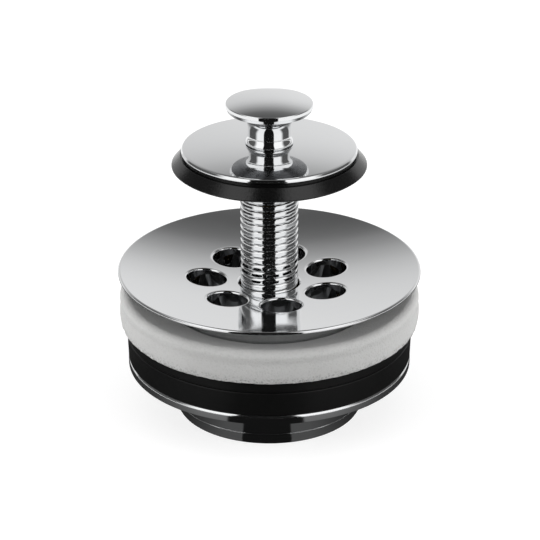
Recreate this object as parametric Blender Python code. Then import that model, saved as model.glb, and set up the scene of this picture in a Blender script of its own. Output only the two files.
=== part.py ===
"""Basin drain valve with a screw-down stopper, modelled as its separate pieces.

A dished strainer with seven holes carries a threaded stem in a tapped bush.
The stem carries the stopper: a domed plate with a knob, over a rubber seal that
stands still while the plate turns. Below the dish a foam ring and two rubber
rings sit on a flanged tail nut, which screws up the tail to grip a basin wall.

Metres, +Z up. The origin is the middle of the tail nut's bottom face. The valve
is shown open, as the photograph shows it: the stopper is at its highest.
Threads are left as plain cylinders at their outer diameter.
"""

from math import cos, pi, radians, sin, sqrt, tan

import bmesh
import bpy
from mathutils import Matrix, Vector

# Clearances and overruns shared by all pieces
SEAT_GAP = 0.0003
CUT_OVERRUN = 0.001
MERGE_DISTANCE = 0.000001

# How finely curves are drawn
LARGE_STEPS = 44
SMALL_STEPS = 28
FILLET_STEPS = 2
DISH_STEPS = 6
SHARP_ANGLE = radians(35)

# Threads and the travel that each gives
STEM_PITCH = 0.0015
STEM_TURNS_TO_CLOSE = 16
TAIL_PITCH = 0.0015
NUT_TURNS_TO_TIGHTEN = 1.5

# Strainer body: dished flange, perforated hub and tail, in one casting
FLANGE_REACH = 0.0105
FLANGE_THICKNESS = 0.0014
FLANGE_EDGE_ROUND = 0.0005
DISH_SPHERE_RADIUS = 0.1616
TAIL_RADIUS = 0.018
TAIL_WALL = 0.0022
TAIL_DEPTH = 0.0275
TAIL_GROOVE_DEPTH = 0.0011
TAIL_GROOVE_LIFT = 0.0018
HUB_SHOULDER = 0.003
HUB_WALL = 0.0034
HUB_DEPTH = 0.012
HUB_FILLET = 0.001
GRID_DEPTH = 0.008
CHAMBER_WALL_HEIGHT = 0.0015
HOLE_COUNT = 7
HOLE_MARGIN = 0.0003
FIRST_HOLE_ANGLE = radians(23.5)
HOLE_STEPS = 24
COUNTERSINK_WIDTH = 0.0004

# Stem bush: tapped sleeve pressed up into the hub
BUSH_WALL = 0.0015
BUSH_ROOF = 0.0011
BUSH_FLANGE_WIDTH = 0.0012
BUSH_FLANGE_THICKNESS = 0.0012
BUSH_NOSE_LENGTH = 0.0008

# Threaded stem
STEM_RADIUS = 0.006
STEM_EDGE_ROUND = 0.0005
STEM_FOOT_LENGTH = 0.001
CLIP_GROOVE_DEPTH = 0.0007

# Stop washer and circlips on the stem
STOP_WASHER_WIDTH = 0.0022
STOP_WASHER_THICKNESS = 0.0008
CLIP_WIDTH = 0.0021
CLIP_THICKNESS = 0.0007
CLIP_OPENING_ANGLE = radians(50)

# Stopper plate
PLATE_RADIUS = 0.018
PLATE_RIM_THICKNESS = 0.0008
PLATE_DOME_RISE = 0.0011
PLATE_RIM_ROUND = 0.00038

# Stopper seal: lip ring clipped over the carrier's rim
SEAL_COLLAR_INSET = 0.0006
SEAL_SHOULDER_REACH = 0.0002
SEAL_EDGE_REACH = 0.00213
SEAL_SEAT_WIDTH = 0.00053
SEAL_HOLD_WIDTH = 0.001
SEAL_FLANGE_THICKNESS = 0.0006
SEAL_UNDERCUT = 0.0004
SEAL_EDGE_RISE = 0.0004
SEAL_EDGE_ROUND = 0.00015

# Seal carrier: disc that holds the seal, free to turn on the stem
CARRIER_INSET = 0.0023
CARRIER_THICKNESS = 0.0011
CARRIER_HUB_WALL = 0.0023
CARRIER_HUB_THICKNESS = 0.002

# Slip ring between the turning plate and the still carrier
SLIP_RING_INSET = 0.0045
SLIP_RING_THICKNESS = 0.0006

# Sealing ring between plate and stem
PLATE_O_RING_SECTION = 0.0005

# Knob stud
STUD_RADIUS = 0.0025
STUD_DEPTH_IN_STEM = 0.009
STUD_DEPTH_IN_KNOB = 0.0065

# Knob
KNOB_NECK_RADIUS = 0.00438
KNOB_NECK_START = 0.0021
KNOB_BEAD_REACH = 0.00062
KNOB_BEAD_HEIGHT = 0.0004
KNOB_FLARE_SHARE = 0.33
KNOB_FOOT_INSET = 0.0003
KNOB_CAP_HEIGHT = 0.0066
KNOB_RIM_RADIUS = 0.00895
KNOB_RIM_HEIGHT = 0.0006
KNOB_UNDERSIDE_INSET = 0.0004
KNOB_DOME_INSET = 0.00019
KNOB_DOME_START = 0.00135
KNOB_DOME_RISE = 0.0013
KNOB_EDGE_ROUND = 0.00025
KNOB_NECK_FILLET = 0.0006

# Tail nut: flange, spigot and bore
NUT_SPIGOT_LENGTH = 0.0101
NUT_FLANGE_REACH = 0.00975
NUT_FLANGE_THICKNESS = 0.0019
NUT_TOP_ROUND = 0.0005
NUT_EDGE_ROUND = 0.0002
NUT_RECESS_DEPTH = 0.0008
NUT_WALL = 0.0017
NUT_SPIGOT_FILLET = 0.0008
NUT_STEP_HEIGHT = 0.00245
NUT_STEP_DEPTH = 0.00012
NUT_CHAMFER_HEIGHT = 0.00105
NUT_CHAMFER_DEPTH = 0.0005
NUT_KEYWAY_COUNT = 4
NUT_KEYWAY_WIDTH = 0.004
NUT_KEYWAY_DEPTH = 0.0005
NUT_KEYWAY_LENGTH = 0.003
NUT_KEYWAY_ANGLE = radians(45)

# Friction ring between the nut and the lower rubber ring
FRICTION_RING_INSET = 0.00175
FRICTION_RING_SLACK = 0.0006

# Rubber rings
RUBBER_TAPER = 0.00025
LOWER_RUBBER_THICKNESS = 0.0049
UPPER_RUBBER_THICKNESS = 0.00225
RUBBER_EDGE_ROUND = 0.00025

# Foam ring
FOAM_INSET = 0.0004
FOAM_WAIST_DEPTH = 0.0003
FOAM_SHOULDER_HEIGHT = 0.0078
FOAM_TOP_SLOPE = radians(22.7)
FOAM_TOP_ROUND = 0.0014
FOAM_BOTTOM_ROUND = 0.0006
FOAM_SIDE_STEPS = 8

# Ring in the tail's groove
TAIL_O_RING_SECTION = 0.0004
O_RING_SECTION_STEPS = 6

# Colours as linear RGB, roughness and metallic value
FINISHES = {
    "polished_chrome": ((0.78, 0.79, 0.80), 0.06, 1.0),
    "plain_brass": ((0.72, 0.55, 0.27), 0.30, 1.0),
    "spring_steel": ((0.33, 0.34, 0.36), 0.35, 1.0),
    "black_rubber": ((0.012, 0.012, 0.012), 0.45, 0.0),
    "white_foam": ((0.62, 0.62, 0.61), 0.90, 0.0),
    "natural_nylon": ((0.74, 0.71, 0.62), 0.50, 0.0),
}


# Radii that follow from the sizes above
HUB_RADIUS = TAIL_RADIUS + HUB_SHOULDER
FLANGE_RADIUS = HUB_RADIUS + FLANGE_REACH
CHAMBER_RADIUS = HUB_RADIUS - HUB_WALL
TAIL_BORE_RADIUS = TAIL_RADIUS - TAIL_WALL
TAIL_GROOVE_RADIUS = TAIL_RADIUS - TAIL_GROOVE_DEPTH
BUSH_RADIUS = STEM_RADIUS + BUSH_WALL
BUSH_FLANGE_RADIUS = BUSH_RADIUS + BUSH_FLANGE_WIDTH
HOLE_RING_INNER = BUSH_FLANGE_RADIUS + HOLE_MARGIN
HOLE_RING_OUTER = CHAMBER_RADIUS - HOLE_MARGIN
HOLE_RADIUS = (HOLE_RING_OUTER - HOLE_RING_INNER) / 2
HOLE_CIRCLE_RADIUS = (HOLE_RING_OUTER + HOLE_RING_INNER) / 2
CARRIER_RADIUS = PLATE_RADIUS - CARRIER_INSET
SEAL_GROOVE_RADIUS = CARRIER_RADIUS + SEAT_GAP
SEAL_INNER_RADIUS = CARRIER_RADIUS - SEAT_GAP - SEAL_HOLD_WIDTH
SEAL_EDGE_RADIUS = PLATE_RADIUS + SEAL_EDGE_REACH
SEAL_SEAT_RADIUS = SEAL_EDGE_RADIUS - SEAL_SEAT_WIDTH
NUT_BORE_RADIUS = TAIL_RADIUS + SEAT_GAP
NUT_SPIGOT_RADIUS = NUT_BORE_RADIUS + NUT_WALL
NUT_FLANGE_RADIUS = NUT_SPIGOT_RADIUS + NUT_FLANGE_REACH
FRICTION_RING_RADIUS = NUT_FLANGE_RADIUS - FRICTION_RING_INSET
FOAM_OUTER_RADIUS = FLANGE_RADIUS - FOAM_INSET

# Heights that follow from the sizes above, from the tail nut up to the flange's lip
NUT_FLANGE_TOP = NUT_SPIGOT_LENGTH + NUT_FLANGE_THICKNESS
LOWER_RUBBER_BOTTOM = NUT_FLANGE_TOP + SEAT_GAP
LOWER_RUBBER_TOP = LOWER_RUBBER_BOTTOM + LOWER_RUBBER_THICKNESS
UPPER_RUBBER_BOTTOM = LOWER_RUBBER_TOP + SEAT_GAP
UPPER_RUBBER_TOP = UPPER_RUBBER_BOTTOM + UPPER_RUBBER_THICKNESS
FOAM_BOTTOM = UPPER_RUBBER_TOP + SEAT_GAP
HUB_BOTTOM = LOWER_RUBBER_TOP + SEAT_GAP + TAIL_PITCH * NUT_TURNS_TO_TIGHTEN
LIP_HEIGHT = HUB_BOTTOM + HUB_DEPTH


def dish_height(radius):
    """Height of the strainer's upper face: a shallow sphere hung from the lip."""
    drop_at_lip = sqrt(DISH_SPHERE_RADIUS**2 - FLANGE_RADIUS**2)
    return LIP_HEIGHT + drop_at_lip - sqrt(DISH_SPHERE_RADIUS**2 - radius**2)


def dome_height(radius):
    """Height of the stopper plate's upper face above the top of its rim."""
    sphere = (PLATE_RADIUS**2 + PLATE_DOME_RISE**2) / (2 * PLATE_DOME_RISE)
    return PLATE_DOME_RISE - sphere + sqrt(sphere**2 - radius**2)


# Heights that follow from the dish, from the tail's end up to the knob
TAIL_END = LIP_HEIGHT - TAIL_DEPTH
GRID_BOTTOM = LIP_HEIGHT - GRID_DEPTH
STEM_CLEARANCE_RADIUS = STEM_RADIUS + SEAT_GAP
POCKET_RADIUS = BUSH_RADIUS + SEAT_GAP
POCKET_TOP = dish_height(POCKET_RADIUS) - BUSH_ROOF
BUSH_TOP = POCKET_TOP - SEAT_GAP
BUSH_FLANGE_TOP = GRID_BOTTOM - SEAT_GAP
BUSH_FLANGE_BOTTOM = BUSH_FLANGE_TOP - BUSH_FLANGE_THICKNESS
BUSH_BOTTOM = BUSH_FLANGE_BOTTOM - BUSH_NOSE_LENGTH
STOP_WASHER_TOP = BUSH_BOTTOM - SEAT_GAP
STOP_WASHER_BOTTOM = STOP_WASHER_TOP - STOP_WASHER_THICKNESS
STOP_CLIP_TOP = STOP_WASHER_BOTTOM - SEAT_GAP
STOP_CLIP_BOTTOM = STOP_CLIP_TOP - CLIP_THICKNESS
STEM_BOTTOM = STOP_CLIP_BOTTOM - SEAT_GAP - STEM_FOOT_LENGTH
CLOSING_TRAVEL = STEM_PITCH * STEM_TURNS_TO_CLOSE
SEAL_BOTTOM = dish_height(SEAL_SEAT_RADIUS) + SEAT_GAP + CLOSING_TRAVEL
CARRIER_BOTTOM = SEAL_BOTTOM + SEAL_FLANGE_THICKNESS + SEAT_GAP
CARRIER_TOP = CARRIER_BOTTOM + CARRIER_THICKNESS
CARRIER_HUB_BOTTOM = CARRIER_TOP - CARRIER_HUB_THICKNESS
CARRIER_CLIP_TOP = CARRIER_HUB_BOTTOM - SEAT_GAP
CARRIER_CLIP_BOTTOM = CARRIER_CLIP_TOP - CLIP_THICKNESS
SEAL_TOP = CARRIER_TOP + SEAT_GAP + SEAL_FLANGE_THICKNESS
SLIP_RING_BOTTOM = CARRIER_TOP + SEAT_GAP
SLIP_RING_TOP = SLIP_RING_BOTTOM + SLIP_RING_THICKNESS
STEM_TOP = SLIP_RING_TOP
PLATE_BOTTOM = STEM_TOP + SEAT_GAP
PLATE_RIM_TOP = PLATE_BOTTOM + PLATE_RIM_THICKNESS
PLATE_TOP = PLATE_RIM_TOP + PLATE_DOME_RISE
KNOB_BOTTOM = PLATE_TOP + SEAT_GAP
KNOB_CAP_BOTTOM = KNOB_BOTTOM + KNOB_CAP_HEIGHT
STUD_HOLE_RADIUS = STUD_RADIUS + SEAT_GAP


def remove_everything():
    """Empty the scene without closing the file."""
    for scene_object in list(bpy.data.objects):
        bpy.data.objects.remove(scene_object, do_unlink=True)


def finish_material(finish_name):
    """Material of one finish, made once and shared by the pieces that have it."""
    material = bpy.data.materials.get(finish_name)
    if material is None:
        colour, roughness, metallic = FINISHES[finish_name]
        material = bpy.data.materials.new(finish_name)
        material.use_nodes = True
        shader = material.node_tree.nodes["Principled BSDF"]
        shader.inputs["Base Color"].default_value = (*colour, 1.0)
        shader.inputs["Roughness"].default_value = roughness
        shader.inputs["Metallic"].default_value = metallic
    return material


def axis_empty(name, height, parent=None):
    """Empty on the valve's centre line that carries one moving group."""
    empty = bpy.data.objects.new(name, None)
    bpy.context.collection.objects.link(empty)
    empty.empty_display_size = STEM_RADIUS
    empty.parent = parent
    empty.location = (0, 0, height - (parent.location.z if parent else 0))
    return empty


def add_piece(name, bm, finish_name, group):
    """Turn a bmesh in world places into a named object under its group's empty."""
    bmesh.ops.remove_doubles(bm, verts=bm.verts, dist=MERGE_DISTANCE)
    bmesh.ops.recalc_face_normals(bm, faces=bm.faces)
    mesh = bpy.data.meshes.new(name)
    bpy.context.view_layer.update()
    mesh_place = group.matrix_world.inverted() if group else Matrix.Identity(4)
    bm.transform(mesh_place)
    bm.to_mesh(mesh)
    bm.free()
    mesh.shade_smooth()
    mesh.set_sharp_from_angle(angle=SHARP_ANGLE)
    mesh.materials.append(finish_material(finish_name))
    piece = bpy.data.objects.new(name, mesh)
    bpy.context.collection.objects.link(piece)
    piece.parent = group
    return piece


def rounded(corners):
    """Outline points from corners (radius, height, round); a round makes an arc."""
    outline = []
    count = len(corners)
    for index, (radius, height, fillet) in enumerate(corners):
        corner = Vector((radius, height))
        before = Vector(corners[index - 1][:2]) - corner
        after = Vector(corners[(index + 1) % count][:2]) - corner
        if fillet == 0:
            outline.append(corner)
            continue
        half_angle = before.angle(after) / 2
        middle = (before.normalized() + after.normalized()).normalized()
        centre = corner + middle * (fillet / sin(half_angle))
        start = corner + before.normalized() * (fillet / tan(half_angle)) - centre
        end = corner + after.normalized() * (fillet / tan(half_angle)) - centre
        for step in range(FILLET_STEPS + 1):
            arm = start.slerp(end, step / FILLET_STEPS).normalized()
            outline.append(centre + arm * fillet)
    return outline


def turned(corners, steps, sweep=2 * pi, start_angle=0.0):
    """Solid turned from a closed outline round Z; a part turn gets flat ends."""
    bm = bmesh.new()
    outline = rounded(corners)
    points = [bm.verts.new((point.x, 0, point.y)) for point in outline]
    bmesh.ops.rotate(bm, verts=points, matrix=Matrix.Rotation(start_angle, 3, "Z"))
    face = bm.faces.new(points)
    full_turn = sweep == 2 * pi
    if full_turn:
        edges = list(face.edges)
        bm.faces.remove(face)
        geometry = edges
    else:
        geometry = [face]
    bmesh.ops.spin(
        bm,
        geom=geometry,
        axis=(0, 0, 1),
        cent=(0, 0, 0),
        angle=sweep,
        steps=steps,
        use_merge=full_turn,
    )
    return bm


def turned_on_axis(corners, steps):
    """Solid turned from an open outline that starts and ends on the Z axis."""
    bm = bmesh.new()
    outline = rounded(corners)
    points = [bm.verts.new((point.x, 0, point.y)) for point in outline]
    edges = [bm.edges.new(pair) for pair in zip(points, points[1:])]
    bmesh.ops.spin(
        bm,
        geom=edges,
        axis=(0, 0, 1),
        cent=(0, 0, 0),
        angle=2 * pi,
        steps=steps,
        use_merge=True,
    )
    bmesh.ops.remove_doubles(bm, verts=bm.verts, dist=MERGE_DISTANCE)
    return bm


def plain_ring(inner, outer, bottom, top):
    """Corners of a flat ring with square edges."""
    return [
        (inner, top, 0),
        (outer, top, 0),
        (outer, bottom, 0),
        (inner, bottom, 0),
    ]


def round_section_ring(centre_radius, centre_height, section, steps):
    """Ring of round cross-section, such as an O-ring."""
    corners = []
    for step in range(O_RING_SECTION_STEPS):
        turn = 2 * pi * step / O_RING_SECTION_STEPS
        radius = centre_radius + section * sin(turn)
        height = centre_height + section * cos(turn)
        corners.append((radius, height, 0))
    return turned(corners, steps)


def cut(piece, cutter_name, cutter_bm):
    """Subtract a hidden cutter from a piece with a Boolean modifier."""
    bmesh.ops.recalc_face_normals(cutter_bm, faces=cutter_bm.faces)
    mesh = bpy.data.meshes.new(cutter_name)
    cutter_bm.to_mesh(mesh)
    cutter_bm.free()
    cutter = bpy.data.objects.new(cutter_name, mesh)
    bpy.context.collection.objects.link(cutter)
    cutter.display_type = "WIRE"
    cutter.hide_render = True
    modifier = piece.modifiers.new(cutter_name, "BOOLEAN")
    modifier.operation = "DIFFERENCE"
    modifier.solver = "EXACT"
    modifier.object = cutter


def make_strainer_body(group):
    """Dished flange, hub with seven through holes, and the tail below it."""
    rim_radius = STEM_CLEARANCE_RADIUS + COUNTERSINK_WIDTH
    last_radius = FLANGE_RADIUS - FLANGE_EDGE_ROUND - MERGE_DISTANCE
    upper_face = []
    for step in range(DISH_STEPS + 1):
        radius = rim_radius + (last_radius - rim_radius) * step / DISH_STEPS
        upper_face.append((radius, dish_height(radius), 0))
    lower_face = []
    first_radius = FLANGE_RADIUS - FLANGE_EDGE_ROUND - MERGE_DISTANCE
    inner_radius = HUB_RADIUS + HUB_FILLET + MERGE_DISTANCE
    for step in range(DISH_STEPS // 2 + 1):
        radius = first_radius + (inner_radius - first_radius) * step / (DISH_STEPS // 2)
        lower_face.append((radius, dish_height(radius) - FLANGE_THICKNESS, 0))
    edge = FLANGE_EDGE_ROUND
    flange_bottom = LIP_HEIGHT - FLANGE_THICKNESS
    groove_bottom = TAIL_END + TAIL_GROOVE_LIFT
    groove_top = groove_bottom + 2 * (TAIL_O_RING_SECTION + SEAT_GAP)
    neck_height = dish_height(HUB_RADIUS) - FLANGE_THICKNESS
    corners = upper_face + [
        (FLANGE_RADIUS, LIP_HEIGHT, edge),
        (FLANGE_RADIUS, flange_bottom, edge),
    ] + lower_face + [
        (HUB_RADIUS, neck_height, HUB_FILLET),
        (HUB_RADIUS, HUB_BOTTOM, edge),
        (TAIL_RADIUS, HUB_BOTTOM, 0),
        (TAIL_RADIUS, groove_top, 0),
        (TAIL_GROOVE_RADIUS, groove_top, 0),
        (TAIL_GROOVE_RADIUS, groove_bottom, 0),
        (TAIL_RADIUS, groove_bottom, 0),
        (TAIL_RADIUS, TAIL_END, 0),
        (TAIL_BORE_RADIUS, TAIL_END, 0),
        (TAIL_BORE_RADIUS, HUB_BOTTOM, 0),
        (CHAMBER_RADIUS, GRID_BOTTOM - CHAMBER_WALL_HEIGHT, 0),
        (CHAMBER_RADIUS, GRID_BOTTOM, 0),
        (POCKET_RADIUS, GRID_BOTTOM, 0),
        (POCKET_RADIUS, POCKET_TOP, 0),
        (STEM_CLEARANCE_RADIUS, POCKET_TOP, 0),
        (STEM_CLEARANCE_RADIUS, dish_height(rim_radius) - COUNTERSINK_WIDTH, 0),
    ]
    body = add_piece("strainer_body", turned(corners, LARGE_STEPS), "polished_chrome", group)
    cut(body, "strainer_hole_cutter", strainer_hole_cylinders())
    return body


def strainer_hole_cylinders():
    """One upright cylinder for each drain hole, on the hole circle."""
    bm = bmesh.new()
    top = LIP_HEIGHT + CUT_OVERRUN
    bottom = GRID_BOTTOM - CUT_OVERRUN
    for index in range(HOLE_COUNT):
        angle = FIRST_HOLE_ANGLE + 2 * pi * index / HOLE_COUNT
        place = Matrix.Translation(
            (
                HOLE_CIRCLE_RADIUS * cos(angle),
                HOLE_CIRCLE_RADIUS * sin(angle),
                (top + bottom) / 2,
            )
        )
        bmesh.ops.create_cone(
            bm,
            cap_ends=True,
            segments=HOLE_STEPS,
            radius1=HOLE_RADIUS,
            radius2=HOLE_RADIUS,
            depth=top - bottom,
            matrix=place,
        )
    return bm


def make_stem_bush(group):
    """Tapped sleeve whose flange bears up against the hub's underside."""
    corners = [
        (STEM_CLEARANCE_RADIUS, BUSH_TOP, 0),
        (BUSH_RADIUS, BUSH_TOP, 0),
        (BUSH_RADIUS, BUSH_FLANGE_TOP, 0),
        (BUSH_FLANGE_RADIUS, BUSH_FLANGE_TOP, 0),
        (BUSH_FLANGE_RADIUS, BUSH_FLANGE_BOTTOM, 0),
        (BUSH_RADIUS, BUSH_FLANGE_BOTTOM, 0),
        (BUSH_RADIUS, BUSH_BOTTOM, 0),
        (STEM_CLEARANCE_RADIUS, BUSH_BOTTOM, 0),
    ]
    return add_piece("stem_bush", turned(corners, SMALL_STEPS), "plain_brass", group)


def make_tail_o_ring(group):
    """Rubber ring in the tail's groove, which seals the tail nut's bore."""
    centre_radius = TAIL_GROOVE_RADIUS + SEAT_GAP + TAIL_O_RING_SECTION
    centre_height = TAIL_END + TAIL_GROOVE_LIFT + SEAT_GAP + TAIL_O_RING_SECTION
    ring = round_section_ring(centre_radius, centre_height, TAIL_O_RING_SECTION, LARGE_STEPS)
    return add_piece("tail_o_ring", ring, "black_rubber", group)


def make_threaded_stem(group):
    """Stem with a groove for each circlip and a drilled head for the stud."""
    groove_radius = STEM_RADIUS - CLIP_GROOVE_DEPTH
    head_radius = STUD_HOLE_RADIUS + 2 * PLATE_O_RING_SECTION + SEAT_GAP
    head_floor = STEM_TOP - 2 * PLATE_O_RING_SECTION - SEAT_GAP
    hole_bottom = STEM_TOP - STUD_DEPTH_IN_STEM - SEAT_GAP
    edge = STEM_EDGE_ROUND
    corners = [
        (0, hole_bottom, 0),
        (STUD_HOLE_RADIUS, hole_bottom, 0),
        (STUD_HOLE_RADIUS, head_floor, 0),
        (head_radius, head_floor, 0),
        (head_radius, STEM_TOP, 0),
        (STEM_RADIUS, STEM_TOP, edge),
        (STEM_RADIUS, CARRIER_CLIP_TOP + SEAT_GAP, 0),
        (groove_radius, CARRIER_CLIP_TOP + SEAT_GAP, 0),
        (groove_radius, CARRIER_CLIP_BOTTOM - SEAT_GAP, 0),
        (STEM_RADIUS, CARRIER_CLIP_BOTTOM - SEAT_GAP, 0),
        (STEM_RADIUS, STOP_CLIP_TOP + SEAT_GAP, 0),
        (groove_radius, STOP_CLIP_TOP + SEAT_GAP, 0),
        (groove_radius, STOP_CLIP_BOTTOM - SEAT_GAP, 0),
        (STEM_RADIUS, STOP_CLIP_BOTTOM - SEAT_GAP, 0),
        (STEM_RADIUS, STEM_BOTTOM, edge),
        (0, STEM_BOTTOM, 0),
    ]
    stem = turned_on_axis(corners, SMALL_STEPS)
    return add_piece("threaded_stem", stem, "polished_chrome", group)


def make_clip(name, clip_bottom, group):
    """Open spring ring that sits in a groove of the stem."""
    inner = STEM_RADIUS - CLIP_GROOVE_DEPTH + SEAT_GAP
    corners = plain_ring(inner, inner + CLIP_WIDTH, clip_bottom, clip_bottom + CLIP_THICKNESS)
    sweep = 2 * pi - CLIP_OPENING_ANGLE
    ring = turned(corners, SMALL_STEPS, sweep, CLIP_OPENING_ANGLE / 2)
    return add_piece(name, ring, "spring_steel", group)


def make_stop_washer(group):
    """Washer that meets the bush when the stem is screwed fully up."""
    corners = plain_ring(
        STEM_CLEARANCE_RADIUS,
        STEM_RADIUS + STOP_WASHER_WIDTH,
        STOP_WASHER_BOTTOM,
        STOP_WASHER_TOP,
    )
    washer = turned(corners, SMALL_STEPS)
    return add_piece("stop_washer", washer, "spring_steel", group)


def make_stopper_plate(group):
    """Domed plate with a rounded rim and a hole for the stud."""
    dome = []
    last_radius = PLATE_RADIUS - PLATE_RIM_ROUND - MERGE_DISTANCE
    for step in range(DISH_STEPS + 1):
        radius = STUD_HOLE_RADIUS + (last_radius - STUD_HOLE_RADIUS) * step / DISH_STEPS
        dome.append((radius, PLATE_RIM_TOP + dome_height(radius), 0))
    corners = dome + [
        (PLATE_RADIUS, PLATE_RIM_TOP, PLATE_RIM_ROUND),
        (PLATE_RADIUS, PLATE_BOTTOM, PLATE_RIM_ROUND),
        (STUD_HOLE_RADIUS, PLATE_BOTTOM, 0),
    ]
    plate = turned(corners, LARGE_STEPS)
    return add_piece("stopper_plate", plate, "polished_chrome", group)


def make_plate_o_ring(group):
    """Rubber ring in the stem's head that seals the plate's centre hole."""
    centre_radius = STUD_HOLE_RADIUS + PLATE_O_RING_SECTION
    centre_height = STEM_TOP - PLATE_O_RING_SECTION
    ring = round_section_ring(
        centre_radius, centre_height, PLATE_O_RING_SECTION, SMALL_STEPS
    )
    return add_piece("plate_o_ring", ring, "black_rubber", group)


def make_knob_stud(group):
    """Headless stud that joins knob, plate and stem."""
    top = KNOB_BOTTOM + STUD_DEPTH_IN_KNOB
    bottom = STEM_TOP - STUD_DEPTH_IN_STEM
    corners = [
        (0, top, 0),
        (STUD_RADIUS, top, 0),
        (STUD_RADIUS, bottom, 0),
        (0, bottom, 0),
    ]
    stud = turned_on_axis(corners, SMALL_STEPS // 2)
    return add_piece("knob_stud", stud, "spring_steel", group)


def make_knob(group):
    """Mushroom knob: domed cap, waisted neck and a beaded foot, drilled below."""
    hole_top = KNOB_BOTTOM + STUD_DEPTH_IN_KNOB + SEAT_GAP
    bead_height = KNOB_BOTTOM + KNOB_BEAD_HEIGHT
    neck_start = KNOB_BOTTOM + KNOB_NECK_START
    flare_height = (bead_height + neck_start) / 2
    bead_radius = KNOB_NECK_RADIUS + KNOB_BEAD_REACH
    flare_radius = KNOB_NECK_RADIUS + KNOB_BEAD_REACH * KNOB_FLARE_SHARE
    edge = KNOB_EDGE_ROUND
    dome_start = KNOB_CAP_BOTTOM + KNOB_DOME_START
    dome_radius = KNOB_RIM_RADIUS - KNOB_DOME_INSET
    dome = []
    sphere = (dome_radius**2 + KNOB_DOME_RISE**2) / (2 * KNOB_DOME_RISE)
    for step in range(DISH_STEPS):
        radius = dome_radius * step / DISH_STEPS
        rise = KNOB_DOME_RISE - sphere + sqrt(sphere**2 - radius**2)
        dome.append((radius, dome_start + rise, 0))
    corners = dome + [
        (dome_radius, dome_start, edge),
        (KNOB_RIM_RADIUS, KNOB_CAP_BOTTOM + KNOB_RIM_HEIGHT, edge),
        (KNOB_RIM_RADIUS - KNOB_UNDERSIDE_INSET, KNOB_CAP_BOTTOM, edge),
        (KNOB_NECK_RADIUS, KNOB_CAP_BOTTOM, KNOB_NECK_FILLET),
        (KNOB_NECK_RADIUS, neck_start, 0),
        (flare_radius, flare_height, 0),
        (bead_radius, bead_height, edge),
        (bead_radius - KNOB_FOOT_INSET, KNOB_BOTTOM, 0),
        (STUD_HOLE_RADIUS, KNOB_BOTTOM, 0),
        (STUD_HOLE_RADIUS, hole_top, 0),
        (0, hole_top, 0),
    ]
    knob = turned_on_axis(corners, SMALL_STEPS)
    return add_piece("knob", knob, "polished_chrome", group)


def make_stopper_seal(group):
    """Lip seal with a sloping skirt, clipped over the carrier's rim."""
    shoulder_height = SEAL_TOP - SEAL_UNDERCUT
    edge = SEAL_EDGE_ROUND
    corners = [
        (SEAL_INNER_RADIUS, SEAL_TOP, 0),
        (PLATE_RADIUS - SEAL_COLLAR_INSET, SEAL_TOP, 0),
        (PLATE_RADIUS - SEAL_COLLAR_INSET, shoulder_height, 0),
        (PLATE_RADIUS + SEAL_SHOULDER_REACH, shoulder_height, 0),
        (SEAL_EDGE_RADIUS, SEAL_BOTTOM + SEAL_EDGE_RISE, edge),
        (SEAL_SEAT_RADIUS, SEAL_BOTTOM, 0),
        (SEAL_INNER_RADIUS, SEAL_BOTTOM, 0),
        (SEAL_INNER_RADIUS, SEAL_BOTTOM + SEAL_FLANGE_THICKNESS, 0),
        (SEAL_GROOVE_RADIUS, SEAL_BOTTOM + SEAL_FLANGE_THICKNESS, 0),
        (SEAL_GROOVE_RADIUS, CARRIER_TOP + SEAT_GAP, 0),
        (SEAL_INNER_RADIUS, CARRIER_TOP + SEAT_GAP, 0),
    ]
    seal = turned(corners, LARGE_STEPS)
    return add_piece("stopper_seal", seal, "black_rubber", group)


def make_seal_carrier(group):
    """Disc with a hub that runs free on the stem and holds the seal."""
    corners = [
        (STEM_CLEARANCE_RADIUS, CARRIER_TOP, 0),
        (CARRIER_RADIUS, CARRIER_TOP, 0),
        (CARRIER_RADIUS, CARRIER_BOTTOM, 0),
        (STEM_RADIUS + CARRIER_HUB_WALL, CARRIER_BOTTOM, 0),
        (STEM_RADIUS + CARRIER_HUB_WALL, CARRIER_HUB_BOTTOM, 0),
        (STEM_CLEARANCE_RADIUS, CARRIER_HUB_BOTTOM, 0),
    ]
    carrier = turned(corners, SMALL_STEPS)
    return add_piece("seal_carrier", carrier, "plain_brass", group)


def make_slip_ring(group):
    """Nylon ring that lets the plate turn over the still carrier."""
    corners = plain_ring(
        STEM_CLEARANCE_RADIUS,
        PLATE_RADIUS - SLIP_RING_INSET,
        SLIP_RING_BOTTOM,
        SLIP_RING_TOP,
    )
    ring = turned(corners, SMALL_STEPS)
    return add_piece("slip_ring", ring, "natural_nylon", group)


def make_tail_nut(group):
    """Flanged nut with a plain spigot; keyways in its mouth take a spanner."""
    recess_radius = FRICTION_RING_RADIUS + SEAT_GAP
    recess_floor = NUT_FLANGE_TOP - NUT_RECESS_DEPTH
    step_radius = NUT_SPIGOT_RADIUS - NUT_STEP_DEPTH
    mouth_radius = step_radius - NUT_CHAMFER_DEPTH
    corners = [
        (NUT_BORE_RADIUS, recess_floor, 0),
        (recess_radius, recess_floor, 0),
        (recess_radius, NUT_FLANGE_TOP, 0),
        (NUT_FLANGE_RADIUS, NUT_FLANGE_TOP, NUT_TOP_ROUND),
        (NUT_FLANGE_RADIUS, NUT_SPIGOT_LENGTH, NUT_EDGE_ROUND),
        (NUT_SPIGOT_RADIUS, NUT_SPIGOT_LENGTH, NUT_SPIGOT_FILLET),
        (NUT_SPIGOT_RADIUS, NUT_STEP_HEIGHT, 0),
        (step_radius, NUT_STEP_HEIGHT, 0),
        (step_radius, NUT_CHAMFER_HEIGHT, 0),
        (mouth_radius, 0, 0),
        (NUT_BORE_RADIUS, 0, 0),
    ]
    nut = add_piece("tail_nut", turned(corners, LARGE_STEPS), "polished_chrome", group)
    cut(nut, "nut_keyway_cutter", nut_keyway_blocks())
    return nut


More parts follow.
